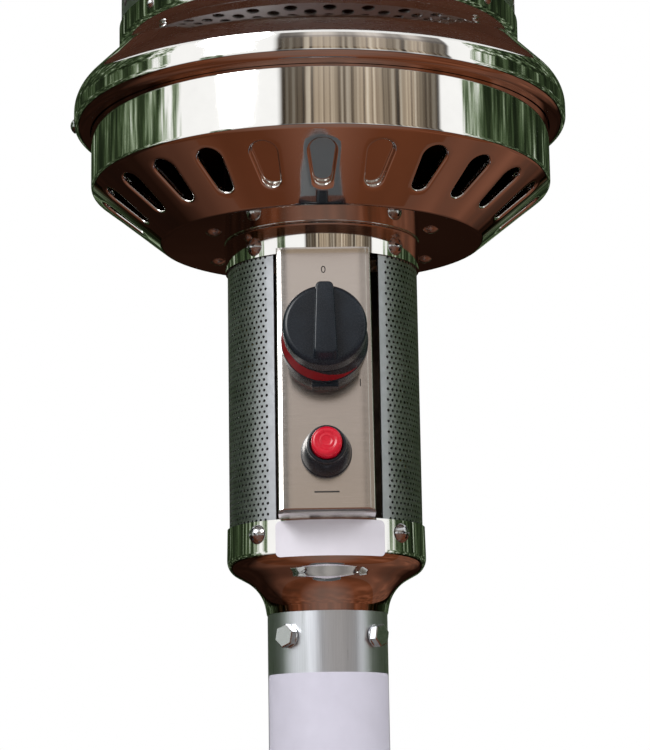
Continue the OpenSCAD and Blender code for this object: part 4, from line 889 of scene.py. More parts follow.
def garden_surround(tree):
    """What stands round the heater: hedges at the sides, boards behind the viewer, white sky between."""
    where = add(tree, "TexCoord").outputs["Object"]
    x, y, z = add(tree, "SeparateXYZ", {"Vector": where}).outputs
    turn = {"Fac": azimuth_share(tree, x, y)}
    rise = {"Fac": add(tree, "MapRange", ranged(z, 0.0, 8.0, 0.0, 1.0))}
    colours = {"data_type": "RGBA"}
    product = {"data_type": "RGBA", "blend_type": "MULTIPLY"}
    # Leaves thin out to open sky towards the front
    left = spans((-105, 0.0), (-88, 0.05), (-84, 0.15), (-71, 0.19), (-69, 1.0))
    right = spans((70, 1.0), (72, 0.18), (82, 0.14), (88, 0.05), (105, 0.0))
    open_sky = add(tree, "ValToRGB", turn, left + right)
    leaves = add(tree, "TexNoise", {"Vector": where, "Scale": 1.4, "Detail": 6.0, "Roughness": 0.7})
    # A bush stands in the open part
    beside = add(tree, "ValToRGB", turn, spans((-57, 0.0), (-54, 0.92), (-43, 0.92), (-40, 0.0)))
    below = add(tree, "ValToRGB", rise, [(0.44, grey(1.0)), (0.54, grey(0.0))])
    bush = add(tree, "Math", {0: beside, 1: below}, operation="MULTIPLY")
    sky = add(tree, "Math", {0: open_sky, 1: bush}, operation="SUBTRACT")
    thin = add(tree, "Math", {0: leaves, 1: sky}, operation="ADD")
    greens = hexes((0.32, "#0B100A"), (0.48, "#222C1B"), (0.57, "#46563A"), (0.64, "#96A58A"))
    hedge = add(tree, "ValToRGB", {"Fac": thin}, greens + [(0.72, grey(1.0))])
    # Boards of uneven width and tone, with dark gaps
    across = add(tree, "Math", {0: turn["Fac"], 1: 150.0}, operation="MULTIPLY")
    grain = add(tree, "TexNoise", {"W": across, "Scale": 1.0, "Detail": 3.0}, noise_dimensions="1D")
    wood = hexes((0.3, "#2E251D"), (0.4, "#7C6A57"), (0.55, "#B5A48D"), (0.66, "#D8CBB8"))
    boards = add(tree, "ValToRGB", {"Fac": grain}, wood)
    # Under and above the boards the light is plain and paler
    pale = hexes((0.29, "#E6E6E8"), (0.35, "#B4A696"), (0.62, "#CFC4B9"))
    pale += hexes((0.68, "#A8A09C"), (0.72, "#B0A8A4"), (0.78, "#D8D1CC"))
    plain = add(tree, "ValToRGB", rise, pale)
    shares = [(0.29, grey(0.8)), (0.34, grey(0.1)), (0.58, grey(0.1)), (0.68, grey(0.85))]
    bare = add(tree, "ValToRGB", rise, shares)
    wall = add(tree, "Mix", {0: bare, 6: boards, 7: plain}, **colours).outputs[2]
    # The boards stand in shade here and there, and near both ends of the wall
    left = spans((-19, 0.2), (-9, 0.35), (-4, 1.0), (4, 1.0), (9, 0.6), (15, 0.6), (20, 1.0))
    right = spans((27, 1.0), (31, 0.55), (38, 0.55), (42, 1.0), (45, 1.0), (50, 0.4), (60, 0.25))
    shade = add(tree, "ValToRGB", turn, left + right)
    shaded = add(tree, "Mix", {0: 1.0, 6: wall, 7: shade}, **product).outputs[2]
    is_board = add(tree, "ValToRGB", turn, spans((-20, 0.0), (-19, 1.0), (59, 1.0), (60, 0.0)))
    all_round = add(tree, "Mix", {0: is_board, 6: hedge, 7: shaded}, **colours).outputs[2]
    # Painted shade: near the ground everything darkens into the paving
    foot = add(tree, "ValToRGB", rise, hexes((0.06, "#4A3023")) + [(0.2, grey(1.0))])
    grounded = add(tree, "Mix", {0: 1.0, 6: all_round, 7: foot}, **product).outputs[2]
    glow_over(tree, grounded, 1.12)


def pale_studio(tree):
    """Pale studio with soft grey flags, so that a round of satin steel shows its shape."""
    x, y, _ = add(tree, "SeparateXYZ", {"Vector": add(tree, "TexCoord").outputs["Object"]}).outputs
    left = spans((-180, 0.3), (-165, 0.06), (-72, 0.06), (-50, 0.9), (-22, 0.4), (2, 0.9))
    right = spans((25, 0.75), (52, 0.3), (75, 0.6), (112, 0.85), (148, 0.55), (180, 0.3))
    flags = add(tree, "ValToRGB", {"Fac": azimuth_share(tree, x, y)}, left + right)
    glow = add(tree, "Emission", {"Color": linear("#E2DAD2"), "Strength": flags})
    add(tree, "OutputMaterial", {"Surface": glow})


def heights(obj):
    """Lowest and highest point of a mesh, in metres."""
    levels = [v.co.z for v in obj.data.vertices] or [0.0]
    return min(levels), max(levels)


def shown_to(name, source, pieces):
    """Lets only these pieces mirror a card or catch a lamp."""
    group = bpy.data.collections.new(name)
    for obj in pieces:
        group.objects.link(obj)
    source.light_linking.receiver_collection = group


class HEATER_OT_stage(Operator):
    """Camera, floor, soft lamps, white surround and reflection cards"""

    bl_idname = "heater.stage"
    bl_label = "Stage"

    def execute(self, context):
        scene = context.scene
        scene.view_settings.view_transform = "Standard"
        self.camera(scene)
        self.world(scene)
        bm = bmesh.new()
        bmesh.ops.create_grid(bm, x_segments=4, y_segments=4, size=12 / MM)
        new_object("studio_floor", bm, "floor_matt")
        pieces = [obj for obj in bpy.data.objects if obj.type == "MESH"]
        self.cards(pieces)
        self.lamps(scene, pieces)
        return {"FINISHED"}

    def cards(self, pieces):
        """The head mirrors the garden, the base a pale studio, and the post the garden over a pale floor."""
        bore, ground_z, floor_z = 0.04, 0.003, 0.0015
        near, far, garden_top, studio_top = 9.0, 9.1, 8.0, 8.07
        ground = card("card_ground", [(bore, ground_z), (near, ground_z)], brick_ground)
        surround = card("card_surround", [(near, ground_z), (near, garden_top)], garden_surround)
        floor = card("card_floor", [(bore, floor_z), (far, floor_z)], pale_studio)
        wall = card("card_wall", [(far, floor_z), (far, studio_top)], pale_studio)
        lid_top = top_of("housing_lid") * MM + 0.001
        low = [obj for obj in pieces if heights(obj)[1] < lid_top]
        high = [obj for obj in pieces if obj not in low]
        post = [obj for obj in high if obj.name == "post_tube"]
        shown_to("mirrors the paving", ground, [obj for obj in high if obj not in post])
        shown_to("mirrors the garden", surround, high)
        shown_to("mirrors the pale floor", floor, low + post)
        shown_to("mirrors the studio wall", wall, low)

    def lamps(self, scene, pieces):
        """Three soft lamps; only the key lamp shows on gloss, and not on the broad reflector."""
        aim = Vector((0, 0, 1.5))
        for name, place, size, power in (
            ("lamp_key", (-2.6, -3.0, 4.2), 2.6, 150.0),
            ("lamp_fill", (3.2, -2.4, 3.0), 2.6, 75.0),
            ("lamp_back", (0.6, 3.4, 3.6), 2.4, 90.0),
        ):
            light = bpy.data.lights.new(name, "AREA")
            light.shape = "DISK"
            light.size = size
            light.energy = power
            lamp = bpy.data.objects.new(name, light)
            scene.collection.objects.link(lamp)
            lamp.location = place
            lamp.rotation_euler = (aim - Vector(place)).to_track_quat("-Z", "Y").to_euler()
            lamp.visible_glossy = name == "lamp_key"
            if lamp.visible_glossy:
                dome = foot_of("reflector") * MM - 0.001
                shown_to("lit by the key lamp", lamp, [obj for obj in pieces if heights(obj)[0] < dome])

    def camera(self, scene):
        """Camera at the photograph's viewpoint: below the pan, looking up at the head."""
        yaw, pitch, tilt = math.radians(0.63), math.radians(10.73), math.radians(-0.90)
        ahead = Vector((math.sin(yaw) * math.cos(pitch), math.cos(yaw) * math.cos(pitch), math.sin(pitch)))
        right = ahead.cross(Vector((0, 0, 1))).normalized()
        up = right.cross(ahead)
        right, up = (
            math.cos(tilt) * right + math.sin(tilt) * up,
            math.cos(tilt) * up - math.sin(tilt) * right,
        )
        data = bpy.data.cameras.new("camera")
        data.sensor_width = 36.0
        data.lens = 110.0
        eye = Vector((-12.0, -1149.1, POST_TOP - 95.5)) * MM
        cam = bpy.data.objects.new("camera", data)
        scene.collection.objects.link(cam)
        cam.matrix_world = Matrix(
            [(right[i], up[i], -ahead[i], eye[i]) for i in range(3)] + [(0, 0, 0, 1)]
        )
        scene.camera = cam

    def world(self, scene):
        """White surround for the camera and for reflections, softer light for matt surfaces."""
        world = bpy.data.worlds.new("white surround")
        scene.world = world
        world.use_nodes = True
        tree = world.node_tree
        tree.nodes.clear()
        path = add(tree, "LightPath").outputs
        seen = add(tree, "Math", {0: path["Is Camera Ray"], 1: path["Is Glossy Ray"]}, operation="MAXIMUM")
        seen = add(tree, "Math", {0: seen, 1: path["Is Transmission Ray"]}, operation="MAXIMUM")
        power = add(tree, "MapRange", ranged(seen, 0.0, 1.0, 0.5, 1.0))
        sky = add(tree, "Background", {"Color": grey(1.0), "Strength": power})
        add(tree, "OutputWorld", {"Surface": sky})


class HEATER_OT_post(Operator):
    """Post tube with its bolts and its blank label"""

    bl_idname = "heater.post"
    bl_label = "Post"

    def execute(self, context):
        s = in_mm(context)
        path = [(s.post_r, foot_of("post")), (s.post_r, POST_TOP)]
        formed("post_tube", path, s.post_t, "stainless_satin_tube", "post")
        bolts = bmesh.new()
        for az in (-39.5, 50.5, 140.5, 230.5):
            place = outward(az, s.post_r, POST_TOP - 12) @ Matrix.Rotation(math.radians(18), 4, "Z")
            hex_head(bolts, place, radius=5.8, height=4.6, shank=8, washer=5.6)
        fixings("post_hex_bolts", bolts, "post_bolts")
        size = (2 * math.radians(80) * s.post_r, 210)
        foot = POST_TOP - 30 - size[1]
        skin = s.post_r + FILM_LIFT
        label("post_label", "vinyl_label_lavender", size, 3, 40, skin, foot, azimuth=0)
        return {"FINISHED"}


class HEATER_OT_neck_cup(Operator):
    """Flared cup on the post, with its blank label"""

    bl_idname = "heater.neck_cup"
    bl_label = "Neck cup"

    def execute(self, context):
        s = in_mm(context)
        slope, cove_r, edge_r = 29, 19.5, 9
        turn = math.radians(90 - slope)
        neck_r = s.post_r + 0.6
        spigot_r = s.post_r - s.post_t - 0.2
        cove_end = Vector((neck_r + cove_r * (1 - math.cos(turn)), POST_TOP + cove_r * math.sin(turn)))
        edge_start = s.cup_r - edge_r + edge_r * math.cos(turn)
        climb = (edge_start - cove_end.x) * math.tan(math.radians(slope))
        edge_z = cove_end.y + climb + edge_r * math.sin(turn)
        path = [(spigot_r, POST_TOP - 40), (spigot_r, POST_TOP), (neck_r - 0.3, POST_TOP)]
        path += arc((neck_r + cove_r, POST_TOP), cove_r, 170, 90 + slope, 16)
        path += arc((s.cup_r - edge_r, edge_z), edge_r, slope - 90, 0, 12)
        path += [(s.cup_r - 0.3, CUP_TOP)]
        polished("neck_cup_sheet", path, s, "neck_cup")
        skin = s.cup_r + FILM_LIFT
        size = (math.radians(64) * skin, 17.5)
        label("cup_label", "vinyl_label_white", size, 2.5, 24, skin, POST_TOP + 24.5, azimuth=2)
        return {"FINISHED"}


class HEATER_OT_sleeve(Operator):
    """Perforated sleeve and the collar above it"""

    bl_idname = "heater.sleeve"
    bl_label = "Sleeve and collar"

    def execute(self, context):
        s = in_mm(context)
        n = context.scene.heater_counts
        window, step, pitch = 32.5, 1.82, 5.36
        side = (180 - window - 2 * step * n.sleeve_pairs) / 2
        low, high = foot_of("perforated_sleeve"), top_of("perforated_sleeve")
        # Two halves with a plain seam at the back; in the solid model the sheet is one piece
        for name, start, nodes in (
            ("sleeve_half_right", SLEEVE_TURN + window + side, ["perforated_sleeve"]),
            ("sleeve_half_left", SLEEVE_TURN + 180 + side, []),
        ):
            sheet = perforated(
                s.sleeve_r, start, step, n.sleeve_pairs, n.sleeve_rows, low, high, pitch, s.hole_r, side, 2
            )
            thicken_round(sheet, s.sleeve_r, s.chrome_t)
            piece(name, sheet, "stainless_perforated", nodes)
        # The wind shield's dark finish is heat stain and painted shade behind the sleeve's holes
        dressed("wind_shield", "stainless_mill_stained")
        # The spun collar flares a little towards the pan
        fold, flare = 1.0, 0.45
        path = [(s.collar_r, foot_of("upper_collar"))]
        path += arc((s.collar_r + flare - fold, PAN_LOW - fold), fold, 0, 90, 6)
        path += [(PAN_BORE, PAN_LOW)]
        polished("collar_sheet", path, s, "upper_collar")
        return {"FINISHED"}


class HEATER_OT_panel(Operator):
    """Leaning control panel with plain dial numbers"""

    bl_idname = "heater.panel"
    bl_label = "Control panel"

    def execute(self, context):
        self.crowned(dressed("control_panel", "stainless_panel_brushed"))
        for name, words, x, y in (("mark_off", "0", 0.0, 38.5), ("mark_on", "1", 17.0, -20.0)):
            self.number(name, words, 5.2, on_panel(KNOB_Z) @ Matrix.Translation((x, y, 0)))
        bar = bmesh.new()
        plate(bar, -6, 6, -19.4, -18.6, 6, 1)
        self.print_on(bar, on_panel(IGNITER_Z))
        piece("mark_bar", bar, "ink_pad_printed")
        return {"FINISHED"}

    def crowned(self, obj):
        """Pressed form of the panel: a face that falls off towards its sides, a flat strip along each side
        fold and a top that curls out a little."""
        place = on_panel(KNOB_Z)
        edge, fold, reach, fall = 23.25, 2.5, 7.0, 0.7
        hem, hem_curve = 4.0, 0.03
        # Section of a side fold: its turn from the face in degrees, distance from the middle and depth
        strip = [(0, 20.75, 0), (18, 20.95, 0.04), (36, 22.6, 0.45)]
        strip += [(54, 22.95, 0.61), (72, 23.2, 1.2), (90, edge, fold)]
        top = (PANEL_TOP - KNOB_Z) / math.cos(PANEL_LEAN)
        bm = bmesh.new()
        bm.from_mesh(obj.data)
        moved(bm, place.inverted() @ Matrix.Scale(1 / MM, 4))
        flat = edge - fold
        cuts = [flat - (reach - fold) * i / 5 for i in range(6)]
        lines = [((side * x, 0, 0), (1, 0, 0)) for side in (-1, 1) for x in cuts]
        lines += [((0, top - hem * i / 5, 0), (0, 1, 0)) for i in range(1, 6)]
        for point, normal in lines:
            bmesh.ops.bisect_plane(bm, geom=whole(bm), dist=0.01, plane_co=point, plane_no=normal)
        for v in bm.verts:
            over, depth = abs(v.co.x) - flat, -v.co.z
            sides = max(0.0, over + reach - fold) / reach
            if over > 0 and math.hypot(over, fold - depth) > fold - 0.1:
                turn = math.degrees(math.atan2(over, fold - depth))
                for (a, x0, d0), (b, x1, d1) in zip(strip, strip[1:]):
                    if a <= turn <= b:
                        share = (turn - a) / (b - a)
                        v.co.x = math.copysign(x0 + (x1 - x0) * share, v.co.x)
                        v.co.z = -d0 - (d1 - d0) * share
                        break
            v.co.z -= fall * sides**2
            v.co.z += hem_curve * max(0.0, v.co.y - top + hem) ** 2
        moved(bm, Matrix.Scale(MM, 4) @ place)
        bm.to_mesh(obj.data)
        bm.free()
        obj.data.shade_smooth()
        obj.data.set_sharp_from_angle(angle=math.radians(12))

    def number(self, name, words, size, place):
        """A pad-printed number: a thin film of ink on the panel."""
        curve = bpy.data.curves.new(name, "FONT")
        curve.body = words
        curve.size = size
        curve.align_x = "CENTER"
        curve.align_y = "CENTER"
        text = bpy.data.objects.new(name, curve)
        bpy.context.scene.collection.objects.link(text)
        graph = bpy.context.evaluated_depsgraph_get()
        bm = bmesh.new()
        bm.from_mesh(text.evaluated_get(graph).to_mesh())
        bpy.data.objects.remove(text)
        bpy.data.curves.remove(curve)
        bmesh.ops.remove_doubles(bm, verts=bm.verts, dist=0.001)
        self.print_on(bm, place)
        piece(name, bm, "ink_pad_printed")

    def print_on(self, bm, place):
        """Gives a flat mark a film's thickness and lays it on the panel."""
        front = verts_of(bmesh.ops.extrude_face_region(bm, geom=bm.faces[:], use_keep_orig=True))
        bmesh.ops.translate(bm, vec=(0, 0, 0.06), verts=front)
        bmesh.ops.translate(bm, vec=(0, 0, 0.01), verts=bm.verts)
        bmesh.ops.recalc_face_normals(bm, faces=bm.faces)
        moved(bm, place)


class HEATER_OT_knob(Operator):
    """Control knob, dial ring, heat scale and the spring behind the knob"""

    bl_idname = "heater.knob"
    bl_label = "Control knob"

    def execute(self, context):
        s = in_mm(context)
        place = on_panel(KNOB_Z)
        back, face, edge = 19.0, 30.5, 2.6
        skirt = [(0, face + 0.3), (9, face + 0.2)]
        skirt += arc((s.knob_r - edge, face - edge), edge, 84, 0, 10)
        skirt += [(s.knob_r, back + 0.4), (s.knob_r - 0.4, back), (s.knob_r - 2, back)]
        skirt += [(s.knob_r - 2, face - 3.5), (7, face - 3.5)]
        skirt += [(7, back), (4.05, back), (4.05, face - 3), (0, face - 3)]
        bm = spun(held(skirt), False, 128)
        self.grip(bm, s, face)
        moved(bm, place)
        piece("knob_moulding", bm, "abs_black_moulded", ["control_knob"], "control_knob")
        dressed("valve_stem", "stainless_satin_tube")
        dressed("dial_ring", "abs_black_moulded", 0.25)
        dressed("heat_scale", "red_scale_inlay")
        span = {"low": 1.3, "high": back - 0.3, "travel": 3}
        spring("stem_coil", "stem_spring", place, "knob_push", mean_r=5.1, turns=5, **span)
        return {"FINISHED"}

    def grip(self, bm, s, face):
        """Grip bar: a tapered block with round ends, its pointer end past the top of the skirt."""
        known = set(bm.verts)
        made = bmesh.ops.create_cube(bm, size=1.0)["verts"]
        low, high = -18.6, s.knob_r + 0.6
        for v in made:
            upper = v.co.y > 0
            crest = v.co.z > 0
            half = s.grip_w / 2 + (0.0 if upper else 1.4) - (0.65 if crest else 0.0)
            x = half if v.co.x > 0 else -half
            y = (high - (1.5 if crest else 0.0)) if upper else low + (2.6 if crest else 0.0)
            z = (face + 6.5 if upper else face + 5.6) if crest else face - (4.5 if upper else 1.5)
            v.co = (x, y, z)
        edges = {e for v in made for e in v.link_edges}
        upright = [e for e in edges if (e.verts[0].co.z > face) != (e.verts[1].co.z > face)]
        bevelled(bm, upright, 2.4, 6)
        edges = {e for v in fresh(bm, known) for e in v.link_edges}
        bevelled(bm, [e for e in edges if all(w.co.z > face + 3 for w in e.verts)], 0.9, 4)
        bar = [f for f in bm.faces if all(v not in known for v in f.verts)]
        bmesh.ops.recalc_face_normals(bm, faces=bar)


def spring(name, node, place, joint, mean_r, turns, low, high, travel):
    """Spring wound from wire, riding on the body of its node."""
    wire = 0.6
    bm = bmesh.new()
    centre = Matrix.Translation((mean_r, 0, low + wire)) @ Matrix.Rotation(math.pi / 2, 4, "X")
    ring = bmesh.ops.create_circle(bm, segments=10, radius=wire, matrix=centre)["verts"]
    steps = turns * 28
    rise = (high - low - 2 * wire) / steps
    bmesh.ops.spin(
        bm,
        geom=ring + list({e for v in ring for e in v.link_edges}),
        cent=(0, 0, 0),
        axis=(0, 0, 1),
        dvec=(0, 0, rise),
        angle=turns * math.tau,
        steps=steps,
    )
    bmesh.ops.holes_fill(bm, edges=[e for e in bm.edges if e.is_boundary])
    bmesh.ops.recalc_face_normals(bm, faces=bm.faces)
    moved(bm, place)
    body = body_of(frame["nodes"][node])[0]
    obj = piece(name, bm, "steel_zinc_plated", [node], body)
    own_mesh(obj)


class HEATER_OT_igniter(Operator):
    """Igniter: nut, red button, body and spring"""

    bl_idname = "heater.igniter"
    bl_label = "Igniter"

    def execute(self, context):
        s = in_mm(context)
        place = on_panel(IGNITER_Z)
        bore = s.button_r + 0.4
        front = bore + 1.6
        nut = [(bore, 6.5), (9.06, 6.5), (9.06, 0), (s.nut_r, 0)]
        nut += arc((s.nut_r - 0.5, 1.4), 0.5, 0, 60, 3)
        nut += arc((s.nut_r - 30.3, 1.0), 30.0, 3, 24, 10)
        nut += [(front + 0.1, 13.4), (front - 0.35, 13.6), (front - 0.35, 14.0), (front + 0.05, 14.2)]
        nut += arc((front - 0.8, 16.2), 0.8, 0, 90, 5)
        nut += [(bore + 0.5, 17), (bore, 16.6)]
        bm = spun(held(nut), True, 96)
        moved(bm, place)
        piece("igniter_nut_moulding", bm, "abs_black_moulded", ["igniter_nut"])
        tip = 22.5
        cap = [(0, -6), (5, -6), (5, 8), (s.button_r, 8)]
        cap += arc((s.button_r - 1.9, tip - 1.9), 1.9, 0, 82, 8)
        cap += [(4.9, tip), (4.5, tip - 0.1), (4.2, tip - 0.35), (3.6, tip - 0.45), (3.2, tip - 0.3)]
        cap += [(2.8, tip - 0.3), (2.4, tip - 0.55), (1.6, tip - 0.65), (0, tip - 0.65)]
        bm = spun(held(cap), False, 96)
        moved(bm, place)
        piece("igniter_cap", bm, "abs_red_moulded", ["igniter_button"], "igniter_button")
        dressed("igniter_body", "abs_black_moulded", 0.2)
        span = {"low": -25.7, "high": -6.3, "travel": 6}
        spring("igniter_coil", "igniter_spring", place, "igniter_press", mean_r=4.4, turns=6, **span)
        return {"FINISHED"}


class HEATER_OT_pan(Operator):
    """Burner pan: flat floor, cone with tapered slots, upright band"""

    bl_idname = "heater.pan"
    bl_label = "Burner pan"
    # Points round a slot
    points = 36

    def execute(self, context):
        s = in_mm(context)
        count = context.scene.heater_counts.slots
        cone_top = PAN_LOW + CONE_RISE
        slope = math.atan2(CONE_RISE, s.pan_r - s.floor_r)
        tilt = math.degrees(slope)
        bend = 3.0
        floor_in = s.floor_r - bend * math.tan(slope / 2)
        floor_arc = arc((floor_in, PAN_LOW + bend), bend, -90, tilt - 90, 8)
        edge = (math.pi / 2 - slope) / 2
        band_arc = arc((s.pan_r - bend, cone_top + bend * math.tan(edge)), bend, tilt - 90, 0, 10)
        along = Vector((math.cos(slope), math.sin(slope)))
        start, end = floor_arc[-1] + along * HOLD, band_arc[0] - along * HOLD
        bm = self.slotted_sector(s, count, start, end, along)
        repeated(bm, math.tau * (count - 1) / count, count - 1)
        seat_r = s.pan_r + 8.1 - 0.3 - s.chrome_t
        band_top = cone_top + 40
        seat = [(s.pan_r, band_top), (seat_r, band_top), (seat_r, band_top - 5.7)]
        for path in (held([(PAN_BORE, PAN_LOW)] + floor_arc) + [start], [end] + held(band_arc + seat)):
            spin(bm, path, False, TURN_STEPS)
        bmesh.ops.remove_doubles(bm, verts=bm.verts, dist=0.02)
        bmesh.ops.recalc_face_normals(bm, faces=bm.faces)
        bm.faces.ensure_lookup_table()
        side = max(bm.faces, key=lambda f: f.calc_area() if abs(f.normal.z) < 0.01 else 0)
        if side.normal.dot(side.calc_center_median()) < 0:
            bmesh.ops.reverse_faces(bm, faces=bm.faces)
        obj = piece("pan_sheet", bm, "stainless_mirror_polished", ["burner_pan"])
        wall = obj.modifiers.new("sheet", "SOLIDIFY")
        wall.thickness = s.chrome_t * MM
        wall.offset = -1.0
        # The pan's inner side is dark with heat stain and painted shade seen through the slots
        obj.data.materials.append(finish("stainless_mill_stained"))
        wall.material_offset = 1
        # The baffle's dark finish is heat stain and painted shade inside the pan
        dressed("burner_baffle", "stainless_mill_stained")
        dressed("slot_covers", "stainless_mirror_polished")
        return {"FINISHED"}

    def slot_outline(self, s, grow, slope):
        """Tapered slot with round ends: points along the cone and across it, from the outer end on."""
        r_in, r_out = s.slot_narrow / 2, s.slot_wide / 2
        inner, outer = SLOT_SPAN
        low, high = r_in, (outer - inner) / math.cos(slope) - r_out
        lean = math.asin((r_out - r_in) / (high - low))
        arc_points = self.points // 2 - 4

        def cap(centre, radius, middle, half):
            """Round end of the slot."""
            turns = [middle - half + 2 * half * i / (arc_points - 1) for i in range(arc_points)]
            r = radius + grow
            return [Vector((centre + r * math.cos(a), r * math.sin(a))) for a in turns]

        ends = cap(high, r_out, 0.0, math.pi / 2 + lean)
        other = cap(low, r_in, math.pi, math.pi / 2 - lean)
        up = [ends[-1].lerp(other[0], i / 5) for i in range(1, 5)]
        down = [other[-1].lerp(ends[0], i / 5) for i in range(1, 5)]
        outline = ends + up + other + down
        return outline[arc_points // 2 :] + outline[: arc_points // 2]

    def slotted_sector(self, s, count, start, end, along):
        """One sector of the cone with its slot and the slot's rolled-in lip."""
        slope = math.atan2(along.y, along.x)
        flat = 100.0
        half = math.pi / count
        run = (end - start).length
        shift = (SLOT_SPAN[0] - start.x) / math.cos(slope)
        roll_r, depth = 1.3, 3.0

        def across(point):
            """Flat place of a slot point: distance up the cone and angle about the axis."""
            up = point.x + shift
            return Vector((up, flat * point.y / (start.x + up * math.cos(slope)), 0))

        bm = bmesh.new()
        grid = plate(bm, 0, run, -half * flat, half * flat, 10, TURN_STEPS // count)
        inside = [v for v in grid if not v.is_boundary]
        rim = [v for v in grid if v.is_boundary]
        bmesh.ops.delete(bm, geom=inside, context="VERTS")
        loop = bmesh.ops.create_circle(bm, segments=self.points, radius=1.0)["verts"]
        loop.sort(key=lambda v: math.atan2(v.co.y, v.co.x) % math.tau)
        outline = self.slot_outline(s, roll_r, slope)
        for v, point in zip(loop, outline):
            v.co = across(point)
        loop_edges = {e for v in loop for e in v.link_edges}
        rim_edges = {e for v in rim for e in v.link_edges}
        bmesh.ops.bridge_loops(bm, edges=list(loop_edges | rim_edges))
        cross = list({e for v in loop for e in v.link_edges} - loop_edges)
        bmesh.ops.subdivide_edges(bm, edges=cross, cuts=3, use_grid_fill=True)
        edges = list(loop_edges)
        flat_outline = [across(point) for point in outline]
        order = {}
        for v in {w for e in edges for w in e.verts}:
            order[v] = min(range(len(outline)), key=lambda i: (flat_outline[i] - v.co).length)
        bends = (0.3, 0.65, 1.0, 1.3, math.pi / 2)
        lip = [(roll_r * (1 - math.sin(a)), roll_r * (1 - math.cos(a))) for a in bends]
        lip.append((0.0, depth))
        for grow, deep in lip:
            shape = self.slot_outline(s, grow, slope)
            made = bmesh.ops.extrude_edge_only(bm, edges=edges)
            edges = [g for g in made["geom"] if isinstance(g, bmesh.types.BMEdge)]
            known, order = order, {}
            for v in verts_of(made):
                i = next(known[e.other_vert(v)] for e in v.link_edges if e.other_vert(v) in known)
                order[v] = i
                v.co = across(shape[i]) + Vector((0, 0, deep))
        for v in bm.verts:
            up, a, deep = v.co.x, v.co.y / flat - math.pi / 2, v.co.z
            r = start.x + up * math.cos(slope) - deep * math.sin(slope)
            z = start.y + up * math.sin(slope) + deep * math.cos(slope)
            v.co = (r * math.cos(a), r * math.sin(a), z)
        return bm


class HEATER_OT_ring(Operator):
    """Shoulder ring round the top of the pan"""

    bl_idname = "heater.ring"
    bl_label = "Shoulder ring"

    def execute(self, context):
        s = in_mm(context)
        lip_r, side, bulge_r, cove_r, slant = 5, 5, 18, 14, 45
        low = PAN_LOW + CONE_RISE + 30.3
        top_r = s.emitter_r + 0.3 + s.chrome_t
        side_z = low + lip_r + side
        run = (bulge_r + cove_r) * (1 - math.cos(math.radians(slant)))
        cove_z = side_z + (bulge_r + cove_r) * math.sin(math.radians(slant)) + s.ring_r - top_r - run
        path = [(s.pan_r + 0.6, low)] + arc((s.ring_r - lip_r, low + lip_r), lip_r, -90, 0, 12)
        path += arc((s.ring_r - bulge_r, side_z), bulge_r, 0, slant, 12)
        path += arc((top_r + cove_r, cove_z), cove_r, 180 + slant, 180, 12)
        path += [(top_r, cove_z + 10)]
        polished("ring_sheet", path, s, "shoulder_ring")
        return {"FINISHED"}


class HEATER_OT_emitter(Operator):
    """Perforated emitter screen and its cap"""

    bl_idname = "heater.emitter"
    bl_label = "Emitter"

    def execute(self, context):
        s = in_mm(context)
        n = context.scene.heater_counts
        low, high = foot_of("emitter_screen"), top_of("emitter_screen")
        step = 180 / n.screen_pairs
        pitch = (high - low - 26) / (n.screen_rows + 0.5)
        screen = perforated(
            s.emitter_r, 0, step, n.screen_pairs, n.screen_rows, low, high, pitch, s.port_r, 0
        )
        thicken_round(screen, s.emitter_r, s.chrome_t)
        piece("screen_sheet", screen, "stainless_heat_tinted", ["emitter_screen"])
        cap_r, cap_top = s.emitter_r + 0.3 + s.chrome_t, top_of("emitter_cap")
        path = [(cap_r, high - 16)] + arc((cap_r - 7, cap_top - 7), 7, 0, 90, 12) + [(0, cap_top)]
        formed("cap_sheet", path, s.chrome_t, "stainless_heat_tinted", "emitter_cap")
        return {"FINISHED"}


class HEATER_OT_reflector(Operator):
    """Spun reflector dish with its studs and wing nuts"""

    bl_idname = "heater.reflector"
    bl_label = "Reflector"

    def execute(self, context):
        s = in_mm(context)
        crown_z, rim_z = top_of("reflector"), foot_of("reflector")
        crown_r, hem = 86.0, 6.0
        run, drop = s.reflector_r - hem / 2 - crown_r, crown_z - rim_z - hem
        dome_r = (run * run + drop * drop) / (2 * drop)
        edge = math.degrees(math.asin(run / dome_r))
        path = arc((s.reflector_r - hem / 2, rim_z + hem / 2), hem / 2, -150, 60, 10)
        path += arc((crown_r, crown_z - dome_r), dome_r, 90 - edge, 90, 40)
        path += [(0, crown_z)]
        formed("reflector_dish", path, 1.0, "aluminium_spun", "reflector")
        dressed("reflector_studs", "steel_zinc_plated", 0.3)
        dressed("wing_nuts", "steel_zinc_plated", 0.5)
        return {"FINISHED"}


